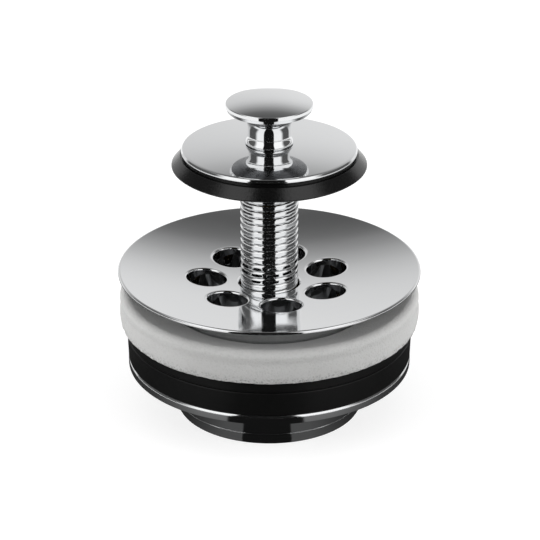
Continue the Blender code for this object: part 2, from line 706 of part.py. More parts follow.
def nut_keyway_blocks():
    """Upright blocks across the mouth of the bore, one for each keyway."""
    bm = bmesh.new()
    height = NUT_KEYWAY_LENGTH + CUT_OVERRUN
    reach = NUT_KEYWAY_DEPTH + CUT_OVERRUN
    middle = NUT_BORE_RADIUS - CUT_OVERRUN + reach / 2
    for index in range(NUT_KEYWAY_COUNT):
        angle = NUT_KEYWAY_ANGLE + 2 * pi * index / NUT_KEYWAY_COUNT
        turn = Matrix.Rotation(angle, 4, "Z")
        place = Matrix.Translation((middle, 0, NUT_KEYWAY_LENGTH - height / 2))
        size = Matrix.Diagonal((reach, NUT_KEYWAY_WIDTH, height, 1))
        bmesh.ops.create_cube(bm, size=1, matrix=turn @ place @ size)
    return bm


def make_friction_ring(group):
    """Thin ring in the nut's recess, so that the nut turns under the rubber."""
    bottom = NUT_FLANGE_TOP - NUT_RECESS_DEPTH + SEAT_GAP
    corners = plain_ring(
        TAIL_RADIUS + FRICTION_RING_SLACK, FRICTION_RING_RADIUS, bottom, NUT_FLANGE_TOP
    )
    ring = turned(corners, LARGE_STEPS)
    return add_piece("friction_ring", ring, "natural_nylon", group)


def rubber_radius(height):
    """Outer radius of the rubber stack: the nut's at its foot, a little more at its top."""
    share = (height - LOWER_RUBBER_BOTTOM) / (UPPER_RUBBER_TOP - LOWER_RUBBER_BOTTOM)
    return NUT_FLANGE_RADIUS + RUBBER_TAPER * share


def make_rubber_ring(name, inner, bottom, top, group):
    """One of the two stacked rubber rings."""
    edge = RUBBER_EDGE_ROUND
    corners = [
        (inner, top, 0),
        (rubber_radius(top), top, edge),
        (rubber_radius(bottom), bottom, edge),
        (inner, bottom, 0),
    ]
    return add_piece(name, turned(corners, LARGE_STEPS), "black_rubber", group)


def make_foam_ring(group):
    """Soft ring: its top falls towards the hub and its side draws in midway."""
    inner = HUB_RADIUS + SEAT_GAP
    shoulder = FOAM_BOTTOM + FOAM_SHOULDER_HEIGHT
    inner_top = shoulder - (FOAM_OUTER_RADIUS - inner) * tan(FOAM_TOP_SLOPE)
    side = []
    side_top = shoulder - FOAM_TOP_ROUND / tan((pi / 2 - FOAM_TOP_SLOPE) / 2)
    side_bottom = FOAM_BOTTOM + FOAM_BOTTOM_ROUND
    for step in range(1, FOAM_SIDE_STEPS):
        share = step / FOAM_SIDE_STEPS
        radius = FOAM_OUTER_RADIUS - FOAM_WAIST_DEPTH * sin(pi * share) ** 2
        side.append((radius, side_top + (side_bottom - side_top) * share, 0))
    corners = [
        (inner, inner_top, 0),
        (FOAM_OUTER_RADIUS, shoulder, FOAM_TOP_ROUND),
    ] + side + [
        (FOAM_OUTER_RADIUS, FOAM_BOTTOM, FOAM_BOTTOM_ROUND),
        (inner, FOAM_BOTTOM, 0),
    ]
    return add_piece("foam_gasket", turned(corners, LARGE_STEPS), "white_foam", group)


def build_valve():
    """Build every piece under the empty of the group that it moves with."""
    remove_everything()
    body = axis_empty("valve_body_axis", 0)
    make_strainer_body(body)
    make_stem_bush(body)
    make_tail_o_ring(body)
    seal_group = axis_empty("seal_group_axis", SEAL_BOTTOM, body)
    make_stopper_seal(seal_group)
    make_seal_carrier(seal_group)
    make_slip_ring(seal_group)
    spindle = axis_empty("spindle_axis", STEM_BOTTOM, body)
    make_threaded_stem(spindle)
    make_clip("carrier_circlip", CARRIER_CLIP_BOTTOM, spindle)
    make_clip("stop_circlip", STOP_CLIP_BOTTOM, spindle)
    make_stop_washer(spindle)
    make_stopper_plate(spindle)
    make_plate_o_ring(spindle)
    make_knob_stud(spindle)
    make_knob(spindle)
    clamp = axis_empty("clamp_group_axis", LOWER_RUBBER_BOTTOM, body)
    make_foam_ring(clamp)
    make_rubber_ring(
        "upper_rubber_gasket",
        HUB_RADIUS + SEAT_GAP,
        UPPER_RUBBER_BOTTOM,
        UPPER_RUBBER_TOP,
        clamp,
    )
    make_rubber_ring(
        "lower_rubber_gasket",
        TAIL_RADIUS + SEAT_GAP,
        LOWER_RUBBER_BOTTOM,
        LOWER_RUBBER_TOP,
        clamp,
    )
    make_friction_ring(clamp)
    nut_axis = axis_empty("tail_nut_axis", 0, body)
    make_tail_nut(nut_axis)


build_valve()
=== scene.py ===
import math

import bpy
import numpy as np
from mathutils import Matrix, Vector


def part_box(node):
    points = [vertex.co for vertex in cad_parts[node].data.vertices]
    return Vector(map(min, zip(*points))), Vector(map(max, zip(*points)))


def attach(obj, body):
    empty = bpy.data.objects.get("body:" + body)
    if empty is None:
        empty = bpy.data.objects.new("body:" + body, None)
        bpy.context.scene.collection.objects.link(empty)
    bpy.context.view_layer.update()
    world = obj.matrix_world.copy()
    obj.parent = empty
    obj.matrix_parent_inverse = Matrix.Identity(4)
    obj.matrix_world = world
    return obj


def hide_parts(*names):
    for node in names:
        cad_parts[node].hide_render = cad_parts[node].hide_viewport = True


bl_info = {
    "name": "Basin drain valve",
    "version": (1, 0, 0),
    "blender": (4, 5, 0),
    "location": "View3D > Sidebar > Drain valve",
    "description": "Builds a screw-down basin drain valve from turned surfaces and node finishes",
    "category": "Add Mesh",
}

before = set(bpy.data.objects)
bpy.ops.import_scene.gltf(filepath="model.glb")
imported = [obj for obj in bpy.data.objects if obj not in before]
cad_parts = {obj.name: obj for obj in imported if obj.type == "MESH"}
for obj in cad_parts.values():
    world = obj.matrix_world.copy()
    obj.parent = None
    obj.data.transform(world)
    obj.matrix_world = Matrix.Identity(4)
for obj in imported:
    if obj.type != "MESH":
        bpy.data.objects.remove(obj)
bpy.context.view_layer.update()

MM = 0.001
FULL_TURN = 2 * math.pi
ON_CURVE = -1.0  # in place of a rounding: the point lies on a curve and has no corner
COLUMNS = 252  # round the large pieces, and seven times a whole number for the holes
SMALL_COLUMNS = 128  # round the small ones
ARC_STEPS = 9  # points on each rounding
WELD = 0.001 * MM  # side of the cubes in which points become one
WELD_SHIFT = 0.37  # moves the weld's cubes, so that round sizes don't lie on their faces
GAP_CLOSED = 0.24 * MM  # how far a ring comes down into the solids' 0.3 mm gap below it


def linear_colour(code):
    """Linear colour with alpha 1 from a six-digit sRGB hex code: the sRGB curve undone."""
    srgb = np.array([int(code[i:i + 2], 16) / 255 for i in (0, 2, 4)])
    linear = np.where(srgb <= 0.04045, srgb / 12.92, ((srgb + 0.055) / 1.055) ** 2.4)
    return (*linear.tolist(), 1.0)


def reach(node):
    """Outer radius, bottom and top of a turned CAD node at rest, in metres."""
    low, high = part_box(node)
    return round(high.x, 5), round(low.z, 5), round(high.z, 5)


LIP_RADIUS, TAIL_END, LIP_HEIGHT = reach("strainer_body")
STEM_RADIUS, STEM_BOTTOM, STEM_TOP = reach("threaded_stem")
PLATE_RADIUS, PLATE_BOTTOM, _ = reach("stopper_plate")
SEAL_RADIUS, SEAL_BOTTOM, SEAL_TOP = reach("stopper_seal")
KNOB_RADIUS, KNOB_BOTTOM, KNOB_TOP = reach("knob")
_, FOAM_BOTTOM, FOAM_TOP = reach("foam_gasket")
RUBBER_RADIUS, _, RUBBER_TOP = reach("upper_rubber_gasket")
NUT_RADIUS, NUT_BOTTOM, NUT_TOP = reach("tail_nut")


def length(name, default, description):
    """A size in metres, shown in the scene's unit of length."""
    return bpy.props.FloatProperty(
        name=name, description=description, default=default, min=0.0,
        precision=5, unit="LENGTH", subtype="DISTANCE")


def colour(name, code, description):
    """A colour whose default is an sRGB hex code turned to linear."""
    return bpy.props.FloatVectorProperty(
        name=name, description=description, default=linear_colour(code), size=4,
        min=0.0, max=1.0, subtype="COLOR")


def share(name, default, description):
    """A plain number from 0 to 1."""
    return bpy.props.FloatProperty(
        name=name, description=description, default=default, min=0.0, max=1.0,
        subtype="FACTOR")


def angle_in_degrees(name, degrees, description):
    """An angle, given in degrees and kept in radians."""
    return bpy.props.FloatProperty(
        name=name, description=description, default=math.radians(degrees),
        unit="ROTATION", subtype="ANGLE")


class DrainStrainer(bpy.types.PropertyGroup):
    """Sizes of the dished strainer body."""

    lip_radius: length("Lip radius", LIP_RADIUS, "Radius of the flange's outer edge")
    lip_height: length("Lip height", LIP_HEIGHT, "Height of the flange's edge over the nut's foot")
    bowl: length("Bowl radius", 138 * MM, "Radius of the sphere that the dish is cut from")
    sheet: length("Flange thickness", 1.4 * MM, "Thickness of the flange")
    hole_radius: length("Hole radius", 4.15 * MM, "Radius of each drain hole")
    hole_circle: length("Hole circle", 13.15 * MM, "Radius of the circle the holes stand on")
    holes: bpy.props.IntProperty(
        name="Holes", description="Number of drain holes", default=7, min=3, max=9)
    first_hole: angle_in_degrees("First hole", 23.5, "Angle of the first hole from the +X side")
    hub_radius: length("Hub radius", 21 * MM, "Radius of the hub below the flange")
    tail_radius: length("Tail radius", 18 * MM, "Outer radius of the threaded tail")
    bore_radius: length("Bore radius", 15.8 * MM, "Radius of the tail's bore")


class DrainStem(bpy.types.PropertyGroup):
    """Sizes of the threaded stem."""

    radius: length("Radius", STEM_RADIUS, "Radius over the thread's crests")
    pitch: length("Pitch", 1.5 * MM, "Travel in one turn")
    depth: length("Thread depth", 0.26 * MM, "Depth of the thread, from crest to root")
    crest: share("Crest share", 0.35, "Share of the pitch that is the crest's flat")
    root: share("Root share", 0.0, "Share of the pitch that is the root's flat")


class DrainStopper(bpy.types.PropertyGroup):
    """Sizes of the stopper's plate and seal."""

    plate_radius: length("Plate radius", PLATE_RADIUS, "Radius of the plate")
    plate_rise: length("Plate rise", 1.1 * MM, "How far the plate's middle stands over its rim")
    seal_radius: length("Seal radius", SEAL_RADIUS, "Radius of the seal's lower edge")


class DrainKnob(bpy.types.PropertyGroup):
    """Sizes of the knob."""

    rim_radius: length("Rim radius", KNOB_RADIUS, "Radius of the cap's rim")
    neck_radius: length("Neck radius", 4.38 * MM, "Radius of the neck")
    bead_radius: length("Bead radius", 5 * MM, "Radius of the bead at the foot")
    dome_rise: length("Dome rise", 1 * MM, "Rise of the cap's dome")


class DrainGaskets(bpy.types.PropertyGroup):
    """Sizes of the foam ring and of the two rubber rings."""

    foam_radius: length("Foam radius", 31.1 * MM, "Outer radius of the foam ring")
    foam_bore: length("Foam bore", 21.3 * MM, "Inner radius of the foam ring")
    foam_slope: angle_in_degrees("Top slope", 18.5, "Fall of the foam's top towards the hub")
    cell: length("Foam cell", 0.55 * MM, "Width of a cell of the foam")
    tear: length("Torn edge", 0.1 * MM, "Depth of the torn cells along the cut edge")
    rubber_radius: length("Rubber radius", RUBBER_RADIUS, "Outer radius of the rubber rings")


class DrainNut(bpy.types.PropertyGroup):
    """Sizes of the tail nut."""

    flange_radius: length("Flange radius", NUT_RADIUS, "Radius of the nut's flange")
    spigot_radius: length("Spigot radius", 20 * MM, "Radius of the plain spigot")
    bore_radius: length("Bore radius", 18.3 * MM, "Radius of the nut's bore")
    key_width: length("Keyway width", 4 * MM, "Width of each keyway in the nut's mouth")
    key_depth: length("Keyway depth", 0.5 * MM, "Depth of each keyway")
    key_height: length("Keyway height", 3 * MM, "Height of each keyway")


class DrainFinish(bpy.types.PropertyGroup):
    """Colours and polish of the finishes."""

    chrome: colour("Chrome", "eeeff0", "Reflected colour of the polished chrome plate")
    thread: colour("Thread plate", "eaebec", "Reflected colour of the plated thread")
    polish: share("Polish roughness", 0.035, "Roughness of the polished chrome")
    rubber: colour("Rubber", "0c0c0c", "Moulded rubber rings")
    seal: colour("Seal", "0a0a0a", "Rubber of the stopper's seal")
    foam: colour("Foam", "bcbcbb", "Closed-cell foam")
    brass: colour("Brass", "6a5c42", "Turned brass inside the valve")
    steel: colour("Spring steel", "a9aaac", "Clips and washer")
    nylon: colour("Nylon", "e6e2d2", "Slip rings")


class DrainStudio(bpy.types.PropertyGroup):
    """Place of the camera, strength of the light, and tones of the set."""

    aim_height: length("Aim height", 30.96 * MM, "Height of the point the camera looks at")
    distance: length("Camera distance", 473.5 * MM, "From that point to the camera")
    elevation: angle_in_degrees("Camera elevation", 24.75, "Angle of the view above the horizon")
    lens: bpy.props.FloatProperty(
        name="Lens", description="Focal length", default=151.3, min=1.0, unit="CAMERA")
    sky: share("Sky", 0.6, "Strength of the even light from all round")
    key_light: bpy.props.FloatProperty(
        name="Key light", description="Power of each large soft lamp",
        default=14.0, min=0.0, unit="POWER")
    floor_tone: colour("Floor", "bcbcbc", "Colour of the floor under the white light")
    floor_glow: share("Floor glow", 0.68, "How far the floor shows white to the camera")
    backdrop: share("Backdrop", 0.82, "Tone of the backdrop behind the valve, as metal sees it")
    boxes: bpy.props.FloatProperty(
        name="Light boxes", default=1.1, min=0.0,
        description="Tone of the light boxes beside the camera, as metal sees it")
    overhead: share("Dark studio", 0.1, "Tone of the ceiling and of the sides, as metal sees it")
    table_card: share("Table card", 0.075, "Tone of the card under the valve, as metal sees it")
    black: share("Black card", 0.007, "Tone of the black card round the camera, as metal sees it")


GROUPS = {
    "drain_strainer": DrainStrainer,
    "drain_stem": DrainStem,
    "drain_stopper": DrainStopper,
    "drain_knob": DrainKnob,
    "drain_gaskets": DrainGaskets,
    "drain_nut": DrainNut,
    "drain_finish": DrainFinish,
    "drain_studio": DrainStudio,
}


# Surfaces


def sag(radius, sphere):
    """How far a sphere falls away from its tangent plane at a radius from the touching point."""
    return sphere - np.sqrt(sphere ** 2 - np.asarray(radius, float) ** 2)


def sphere_of(radius, rise):
    """Radius of the sphere whose cap of that rim radius is that high."""
    return (radius ** 2 + rise ** 2) / (2 * rise)


def on_curve(radii, heights):
    """Rows of (radius, height, ON_CURVE) for points that lie on a smooth curve."""
    radii = np.asarray(radii, float)
    return np.stack([radii, heights + 0 * radii, np.full(radii.shape, ON_CURVE)], 1).tolist()


def outline(corners, closed=False):
    """Rounded profile through corners of (radius, height, rounding).

    Where the path turns by an angle a, an arc of the rounding's radius takes the corner's
    place. It starts that radius times tan(a / 2) before the corner, and at the share t of the
    arc the path has turned by a t. The normal is the path's direction turned a quarter to the
    left, so a path that runs outwards over the top and down the side has it pointing outwards.
    Returns the points and the normals, each as rows of (radius, height).
    """
    corners = np.asarray(corners, float)
    points, rounding = corners[:, :2], np.maximum(corners[:, 2], 0)
    before, after = np.roll(points, 1, 0), np.roll(points, -1, 0)
    if not closed:
        before[0] = 2 * points[0] - points[1]
        after[-1] = 2 * points[-1] - points[-2]
    into, out = points - before, after - points
    into /= np.linalg.norm(into, axis=1, keepdims=True)
    out /= np.linalg.norm(out, axis=1, keepdims=True)
    turn = np.arctan2(into[:, 0] * out[:, 1] - into[:, 1] * out[:, 0], (into * out).sum(1))
    left = np.stack([-into[:, 1], into[:, 0]], 1)
    start = points - into * (rounding * np.tan(np.abs(turn) / 2))[:, None]
    angle = turn[:, None] * np.linspace(0, 1, ARC_STEPS)
    cosine, sine = np.cos(angle)[..., None], np.sin(angle)[..., None]
    bend = np.sign(turn)[:, None, None]
    arc = start[:, None] + rounding[:, None, None] * (
        sine * bend * into[:, None] + (1 - cosine) * bend * left[:, None])
    normal = cosine * left[:, None] - sine * into[:, None]
    kept = np.repeat(((rounding > 0) & (np.abs(turn) > 1e-6))[:, None], ARC_STEPS, 1)
    kept[:, ARC_STEPS // 2] = True
    path, normals = arc[kept], normal[kept]
    if closed:
        path, normals = np.vstack([path, path[:1]]), np.vstack([normals, normals[:1]])
    return path, normals


def round_angles(columns, first=0.0):
    """Angles of a full turn, the last one being the first again."""
    return first + np.linspace(0, FULL_TURN, columns + 1)


def carried_round(radius, height, angles):
    """Grid of the points (r cos a, r sin a, z), with a row for each height z."""
    x, y = radius * np.cos(angles), radius * np.sin(angles)
    return np.stack(np.broadcast_arrays(x, y, height), 2)


def turned(profile, angles):
    """Surface of revolution: the profile's points and its normals, both carried round."""
    points, normals = (
        carried_round(values[:, :1], values[:, 1:], angles) for values in profile)
    return points, normals


def box_section(bore, outer, bottom, top, rounding):
    """Corners of a rectangular section, clockwise from the top of its bore."""
    return [(radius, height, rounding) for radius, height in (
        (bore, top), (outer, top), (outer, bottom), (bore, bottom))]


def ring_section(centre, radius, count=25):
    """Profile of a round section: centre + radius (sin t, cos t), so it runs clockwise."""
    turn = np.linspace(0, FULL_TURN, count)
    normals = np.stack([np.sin(turn), np.cos(turn)], 1)
    return np.array(centre) + radius * normals, normals


def thread_depth(height, angle, pitch, crest, root):
    """Depth of a right-hand thread, from 0 at the crest to 1 at the root.

    The phase is height / pitch - angle / full turn. Away from the crest's middle the depth is
    0 over the crest's share, follows t^2 down the rounded flank and is 1 over the root's.
    """
    phase = (height / pitch - angle / FULL_TURN) % 1
    away = np.abs(phase - 0.5) * 2
    flank = np.clip((away - crest) / (1 - crest - root), 0, 1)
    return flank ** 2


def bell(value, middle, width):
    """exp(-((value - middle) / width)^2), which is 1 in the middle."""
    return np.exp(-((value - middle) / width) ** 2)


def soft_noise(shape, grain, seed):
    """Seamless noise of spread 1 on a closed grid: white noise blurred by a bell of that grain.

    The blur multiplies the noise's spectrum by exp(-2 (pi f g)^2), f being the frequency along
    each side in cycles a row or column and g the grain in rows and columns.
    """
    noise = np.random.default_rng(seed).standard_normal(shape)
    rows = np.fft.fftfreq(shape[0])[:, None] * grain[0]
    columns = np.fft.fftfreq(shape[1])[None] * grain[1]
    blur = np.exp(-2 * (math.pi ** 2) * (rows ** 2 + columns ** 2))
    field = np.fft.ifft2(np.fft.fft2(noise) * blur).real
    return field / field.std()


def make_piece(name, grids, materials, body, slot, *nodes):
    """One closed mesh from grids of (points, normals, material number).

    Four neighbours (i, j), (i + 1, j), (i + 1, j + 1), (i, j + 1) make a face. Points that fall
    into the same cube of the weld's width become one, which closes seams and poles. Normals of
    welded points are added up, and a grid without normals gets those of its faces.
    """
    points, normals, quads, finish, start = [], [], [], [], 0
    for grid, grid_normals, number in grids:
        rows, columns = grid.shape[:2]
        index = start + np.arange(rows * columns).reshape(rows, columns)
        corners = [index[:-1, :-1], index[1:, :-1], index[1:, 1:], index[:-1, 1:]]
        faces = np.stack([corner.ravel() for corner in corners], 1)
        points.append(grid.reshape(-1, 3))
        normals.append(np.zeros((rows * columns, 3)) if grid_normals is None
                       else grid_normals.reshape(-1, 3))
        quads.append(faces)
        finish.append(np.full(len(faces), number))
        start += rows * columns
    points, normals, quads, finish = map(np.concatenate, (points, normals, quads, finish))
    cubes = np.floor(points / WELD + WELD_SHIFT).astype(np.int64)
    _, first, welded = np.unique(cubes, axis=0, return_index=True, return_inverse=True)
    welded = welded.ravel()
    summed = np.zeros((len(first), 3))
    np.add.at(summed, welded, normals)
    quads = welded[quads]
    same = quads == np.roll(quads, -1, 1)
    doubled = same.sum(1)
    three = doubled == 1
    triangles = quads[three][~same[three]].reshape(-1, 3)
    mesh = bpy.data.meshes.new(name)
    mesh.from_pydata(points[first].tolist(), [], quads[doubled == 0].tolist() + triangles.tolist())
    numbers = np.concatenate([finish[doubled == 0], finish[three]])
    mesh.polygons.foreach_set("material_index", numbers.astype(np.int32))
    mesh.polygons.foreach_set("use_smooth", np.ones(len(mesh.polygons), bool))
    for material in materials:
        mesh.materials.append(material)
    size = np.linalg.norm(summed, axis=1, keepdims=True)
    if size.max() > 0:
        mesh.normals_split_custom_set_from_vertices((summed / np.maximum(size, 1e-9)).tolist())
    mesh.update()
    piece = bpy.data.objects.new(name, mesh)
    bpy.context.scene.collection.objects.link(piece)
    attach(piece, body)
    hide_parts(*nodes)
    return piece


def ring_piece(name, corners, columns, material, body, slot, *nodes):
    """A turned ring from the corners of its closed section, in metres."""
    grid = turned(outline(corners, closed=True), round_angles(columns))
    return make_piece(name, [(*grid, 0)], [material], body, slot, *nodes)


# Finishes


def add_node(tree, kind, inputs=None, **settings):
    """Adds a node of the type ShaderNode and kind, with its settings.

    An input takes a value, the output to link to it, or a node, for that node's first output.
    """
    node = tree.nodes.new("ShaderNode" + kind)
    for key, value in settings.items():
        setattr(node, key, value)
    for key, value in (inputs or {}).items():
        if isinstance(value, bpy.types.Node):
            value = value.outputs[0]
        if isinstance(value, bpy.types.NodeSocket):
            tree.links.new(value, node.inputs[key])
        else:
            node.inputs[key].default_value = value
    return node


def empty_tree(owner):
    """The node tree of a material or a world, with its own nodes taken out."""
    owner.use_nodes = True
    owner.node_tree.nodes.clear()
    return owner.node_tree


def start_finish(name):
    """A new material: (material, tree, object coordinates). The tree has no other nodes."""
    material = bpy.data.materials.new(name)
    tree = empty_tree(material)
    return material, tree, add_node(tree, "TexCoord").outputs["Object"]


def end_finish(material, relief, depth, inputs, strength=1.0):
    """Gives the material its shader, with a bump that deep where the relief is 1."""
    tree = material.node_tree
    bump = add_node(tree, "Bump", {"Height": relief, "Strength": strength, "Distance": depth})
    shader = add_node(tree, "BsdfPrincipled", {**inputs, "Normal": bump})
    add_node(tree, "OutputMaterial", {"Surface": shader})
    return material


def toned(base, factor):
    """The colour made that many times as bright."""
    return (*(factor * value for value in base[:3]), 1.0)


def plated_chrome(name, base, roughness, scuff=0.05):
    """Bright chrome plate over buffed brass.

    The mirror gives the eye crisp studio reflections. What tells it from a perfect mirror is a
    slow ripple of the buffed metal, 7 mm long, a faint cloudiness left by the buffing wheel, and
    hairlines under 0.1 mm that are drawn 0.25 mm apart so that they show as a light veil.
    """
    material, tree, place = start_finish(name)
    cloud = add_node(tree, "TexNoise", {"Vector": place, "Scale": 1 / (4 * MM), "Detail": 3.0})
    veil = add_node(tree, "TexNoise", {"Vector": place, "Scale": 1 / (0.25 * MM), "Detail": 2.0})
    both = add_node(tree, "Math", {0: cloud, 1: veil}, operation="MULTIPLY")
    rough = add_node(tree, "MapRange", {
        "Value": both, "From Min": 0.1, "From Max": 0.45,
        "To Min": roughness, "To Max": roughness + scuff})
    ripple = add_node(tree, "TexNoise", {"Vector": place, "Scale": 1 / (7 * MM), "Detail": 1.0})
    return end_finish(material, ripple, 0.006 * MM, {
        "Base Color": base, "Metallic": 1.0, "Roughness": rough})


def rolled_thread(name, base, root_radius, crest_radius):
    """Chrome plate on a rolled thread.

    Rolling burnishes the crests, so they shine. Down in the roots the colour is painted dark, as
    shade that draws a thin dark line along each root, and the metal gets a little duller with its
    distance below the crest.
    """
    material, tree, place = start_finish(name)
    across = add_node(tree, "VectorMath", {0: place, 1: (1.0, 1.0, 0.0)}, operation="MULTIPLY")
    radius = add_node(tree, "VectorMath", {0: across}, operation="LENGTH").outputs["Value"]
    crest = add_node(tree, "MapRange", {
        "Value": radius, "From Min": root_radius, "From Max": crest_radius})
    # Painted shade: the lowest 30% of each root darkens towards 0.12 of the chrome's colour.
    painted_root_shade = add_node(tree, "MapRange", {"Value": crest, "From Max": 0.3, "To Min": 0.1})
    tone = add_node(tree, "Mix", {0: painted_root_shade, 6: toned(base, 0.12), 7: base}, data_type="RGBA")
    rough = add_node(tree, "MapRange", {
        "Value": crest, "From Max": 0.4, "To Min": 0.07, "To Max": 0.05})
    grain = add_node(tree, "TexNoise", {"Vector": place, "Scale": 1 / (0.6 * MM), "Detail": 3.0})
    return end_finish(material, grain, 0.0015 * MM, {
        "Base Color": tone.outputs[2], "Metallic": 1.0, "Roughness": rough})


def turned_metal(name, base, roughness, feed=0.18 * MM, depth=0.0025 * MM):
    """Metal as the lathe leaves it: fine rings a tool feed apart, and patches of dull film.

    The rings spread the reflections across themselves.
    """
    material, tree, place = start_finish(name)
    across = add_node(tree, "VectorMath", {0: place, 1: (1.0, 1.0, 0.0)}, operation="MULTIPLY")
    radius = add_node(tree, "VectorMath", {0: across}, operation="LENGTH").outputs["Value"]
    height = add_node(tree, "SeparateXYZ", {0: place}).outputs["Z"]
    along = add_node(tree, "Math", {0: radius, 1: height}, operation="ADD")
    rings = add_node(tree, "Math", {0: along, 1: FULL_TURN / feed}, operation="MULTIPLY")
    wave = add_node(tree, "Math", {0: rings}, operation="SINE")
    film = add_node(tree, "TexNoise", {"Vector": place, "Scale": 1 / (3 * MM), "Detail": 4.0})
    tone = add_node(tree, "Mix", {0: film, 6: toned(base, 0.7), 7: base}, data_type="RGBA")
    rough = add_node(tree, "MapRange", {
        "Value": film, "From Min": 0.3, "From Max": 0.7,
        "To Min": roughness + 0.12, "To Max": roughness})
    return end_finish(material, wave, depth, {
        "Base Color": tone.outputs[2], "Metallic": 1.0, "Roughness": rough})


def moulded_rubber(name, base, roughness, gloss):
    """Moulded nitrile rubber.

    Carbon black makes it near black. The mould's skin gives a soft sheen, broken by grain of
    0.1 mm, drawn at 0.3 mm, and by a bloom of pale dust in patches.
    """
    material, tree, place = start_finish(name)
    bloom = add_node(tree, "TexNoise", {"Vector": place, "Scale": 1 / (5 * MM), "Detail": 5.0})
    grain = add_node(tree, "TexNoise", {"Vector": place, "Scale": 1 / (0.3 * MM), "Detail": 4.0})
    tone = add_node(tree, "Mix", {0: bloom, 6: base, 7: toned(base, 1.5)}, data_type="RGBA")
    rough = add_node(tree, "MapRange", {
        "Value": grain, "From Min": 0.3, "From Max": 0.7,
        "To Min": roughness - 0.06, "To Max": roughness + 0.08})
    return end_finish(material, grain, 0.02 * MM, {
        "Base Color": tone.outputs[2], "Roughness": rough, "Specular IOR Level": gloss})


def cut_foam(name, base, cell):
    """Closed-cell polyethylene foam, cut from sheet.

    The knife opens the cells, so the face is matt and peppered with small pits. Their bottoms are
    painted a little darker than their rims, as shade, and much darker near the torn lower edge,
    as painted shade too. Light soaks in, which softens the shading.
    """
    material, tree, place = start_finish(name)
    cells = add_node(tree, "TexVoronoi", {"Vector": place, "Scale": 1 / cell})
    fine = add_node(tree, "TexNoise", {"Vector": place, "Scale": 2 / cell, "Detail": 3.0})
    cloud = add_node(tree, "TexNoise", {"Vector": place, "Scale": 1 / (6 * MM), "Detail": 3.0})
    # Painted shade: through the mix below, the pits' bottoms get a darker colour than their rims.
    pit = add_node(tree, "MapRange", {"Value": cells, "From Min": 0.05, "From Max": 0.55})
    pitted = add_node(tree, "Math", {0: pit, 1: fine}, operation="MULTIPLY")
    spread = add_node(tree, "MapRange", {"Value": pitted, "From Max": 0.5})
    height = add_node(tree, "SeparateXYZ", {0: place}).outputs["Z"]
    # Painted shade: the pits' colour darkens within 1.6 mm of the lower edge, to 0.35 of the foam's
    # at the bottom.
    edge = add_node(tree, "MapRange", {
        "Value": height, "From Min": FOAM_BOTTOM, "From Max": FOAM_BOTTOM + 1.6 * MM,
        "To Min": 0.35, "To Max": 0.93})
    shaded_pit_floors = add_node(tree, "VectorMath", {0: base[:3], "Scale": edge}, operation="SCALE")
    tone = add_node(tree, "Mix", {0: spread, 6: shaded_pit_floors, 7: base}, data_type="RGBA")
    veil = add_node(tree, "MapRange", {
        "Value": cloud, "From Min": 0.3, "From Max": 0.7, "To Max": 0.12})
    soft = add_node(tree, "Mix", {
        0: veil, 6: tone.outputs[2], 7: toned(base, 0.75)}, data_type="RGBA")
    return end_finish(material, pitted, 0.12 * MM, {
        "Base Color": soft.outputs[2], "Roughness": 0.9, "Specular IOR Level": 0.2,
        "Sheen Weight": 0.1, "Subsurface Weight": 0.8, "Subsurface Radius": (1.0, 1.0, 1.0),
        "Subsurface Scale": 2.5 * MM}, strength=0.8)


def moulded_nylon(name, base):
    """Natural nylon: creamy, slightly waxy, with the fine matt skin of the mould."""
    material, tree, place = start_finish(name)
    grain = add_node(tree, "TexNoise", {"Vector": place, "Scale": 1 / (0.4 * MM), "Detail": 3.0})
    tone = add_node(tree, "Mix", {0: grain, 6: toned(base, 0.86), 7: base}, data_type="RGBA")
    return end_finish(material, grain, 0.01 * MM, {
        "Base Color": tone.outputs[2], "Roughness": 0.42, "Subsurface Weight": 0.1,
        "Subsurface Radius": (0.001, 0.0008, 0.0006)})


# Pieces


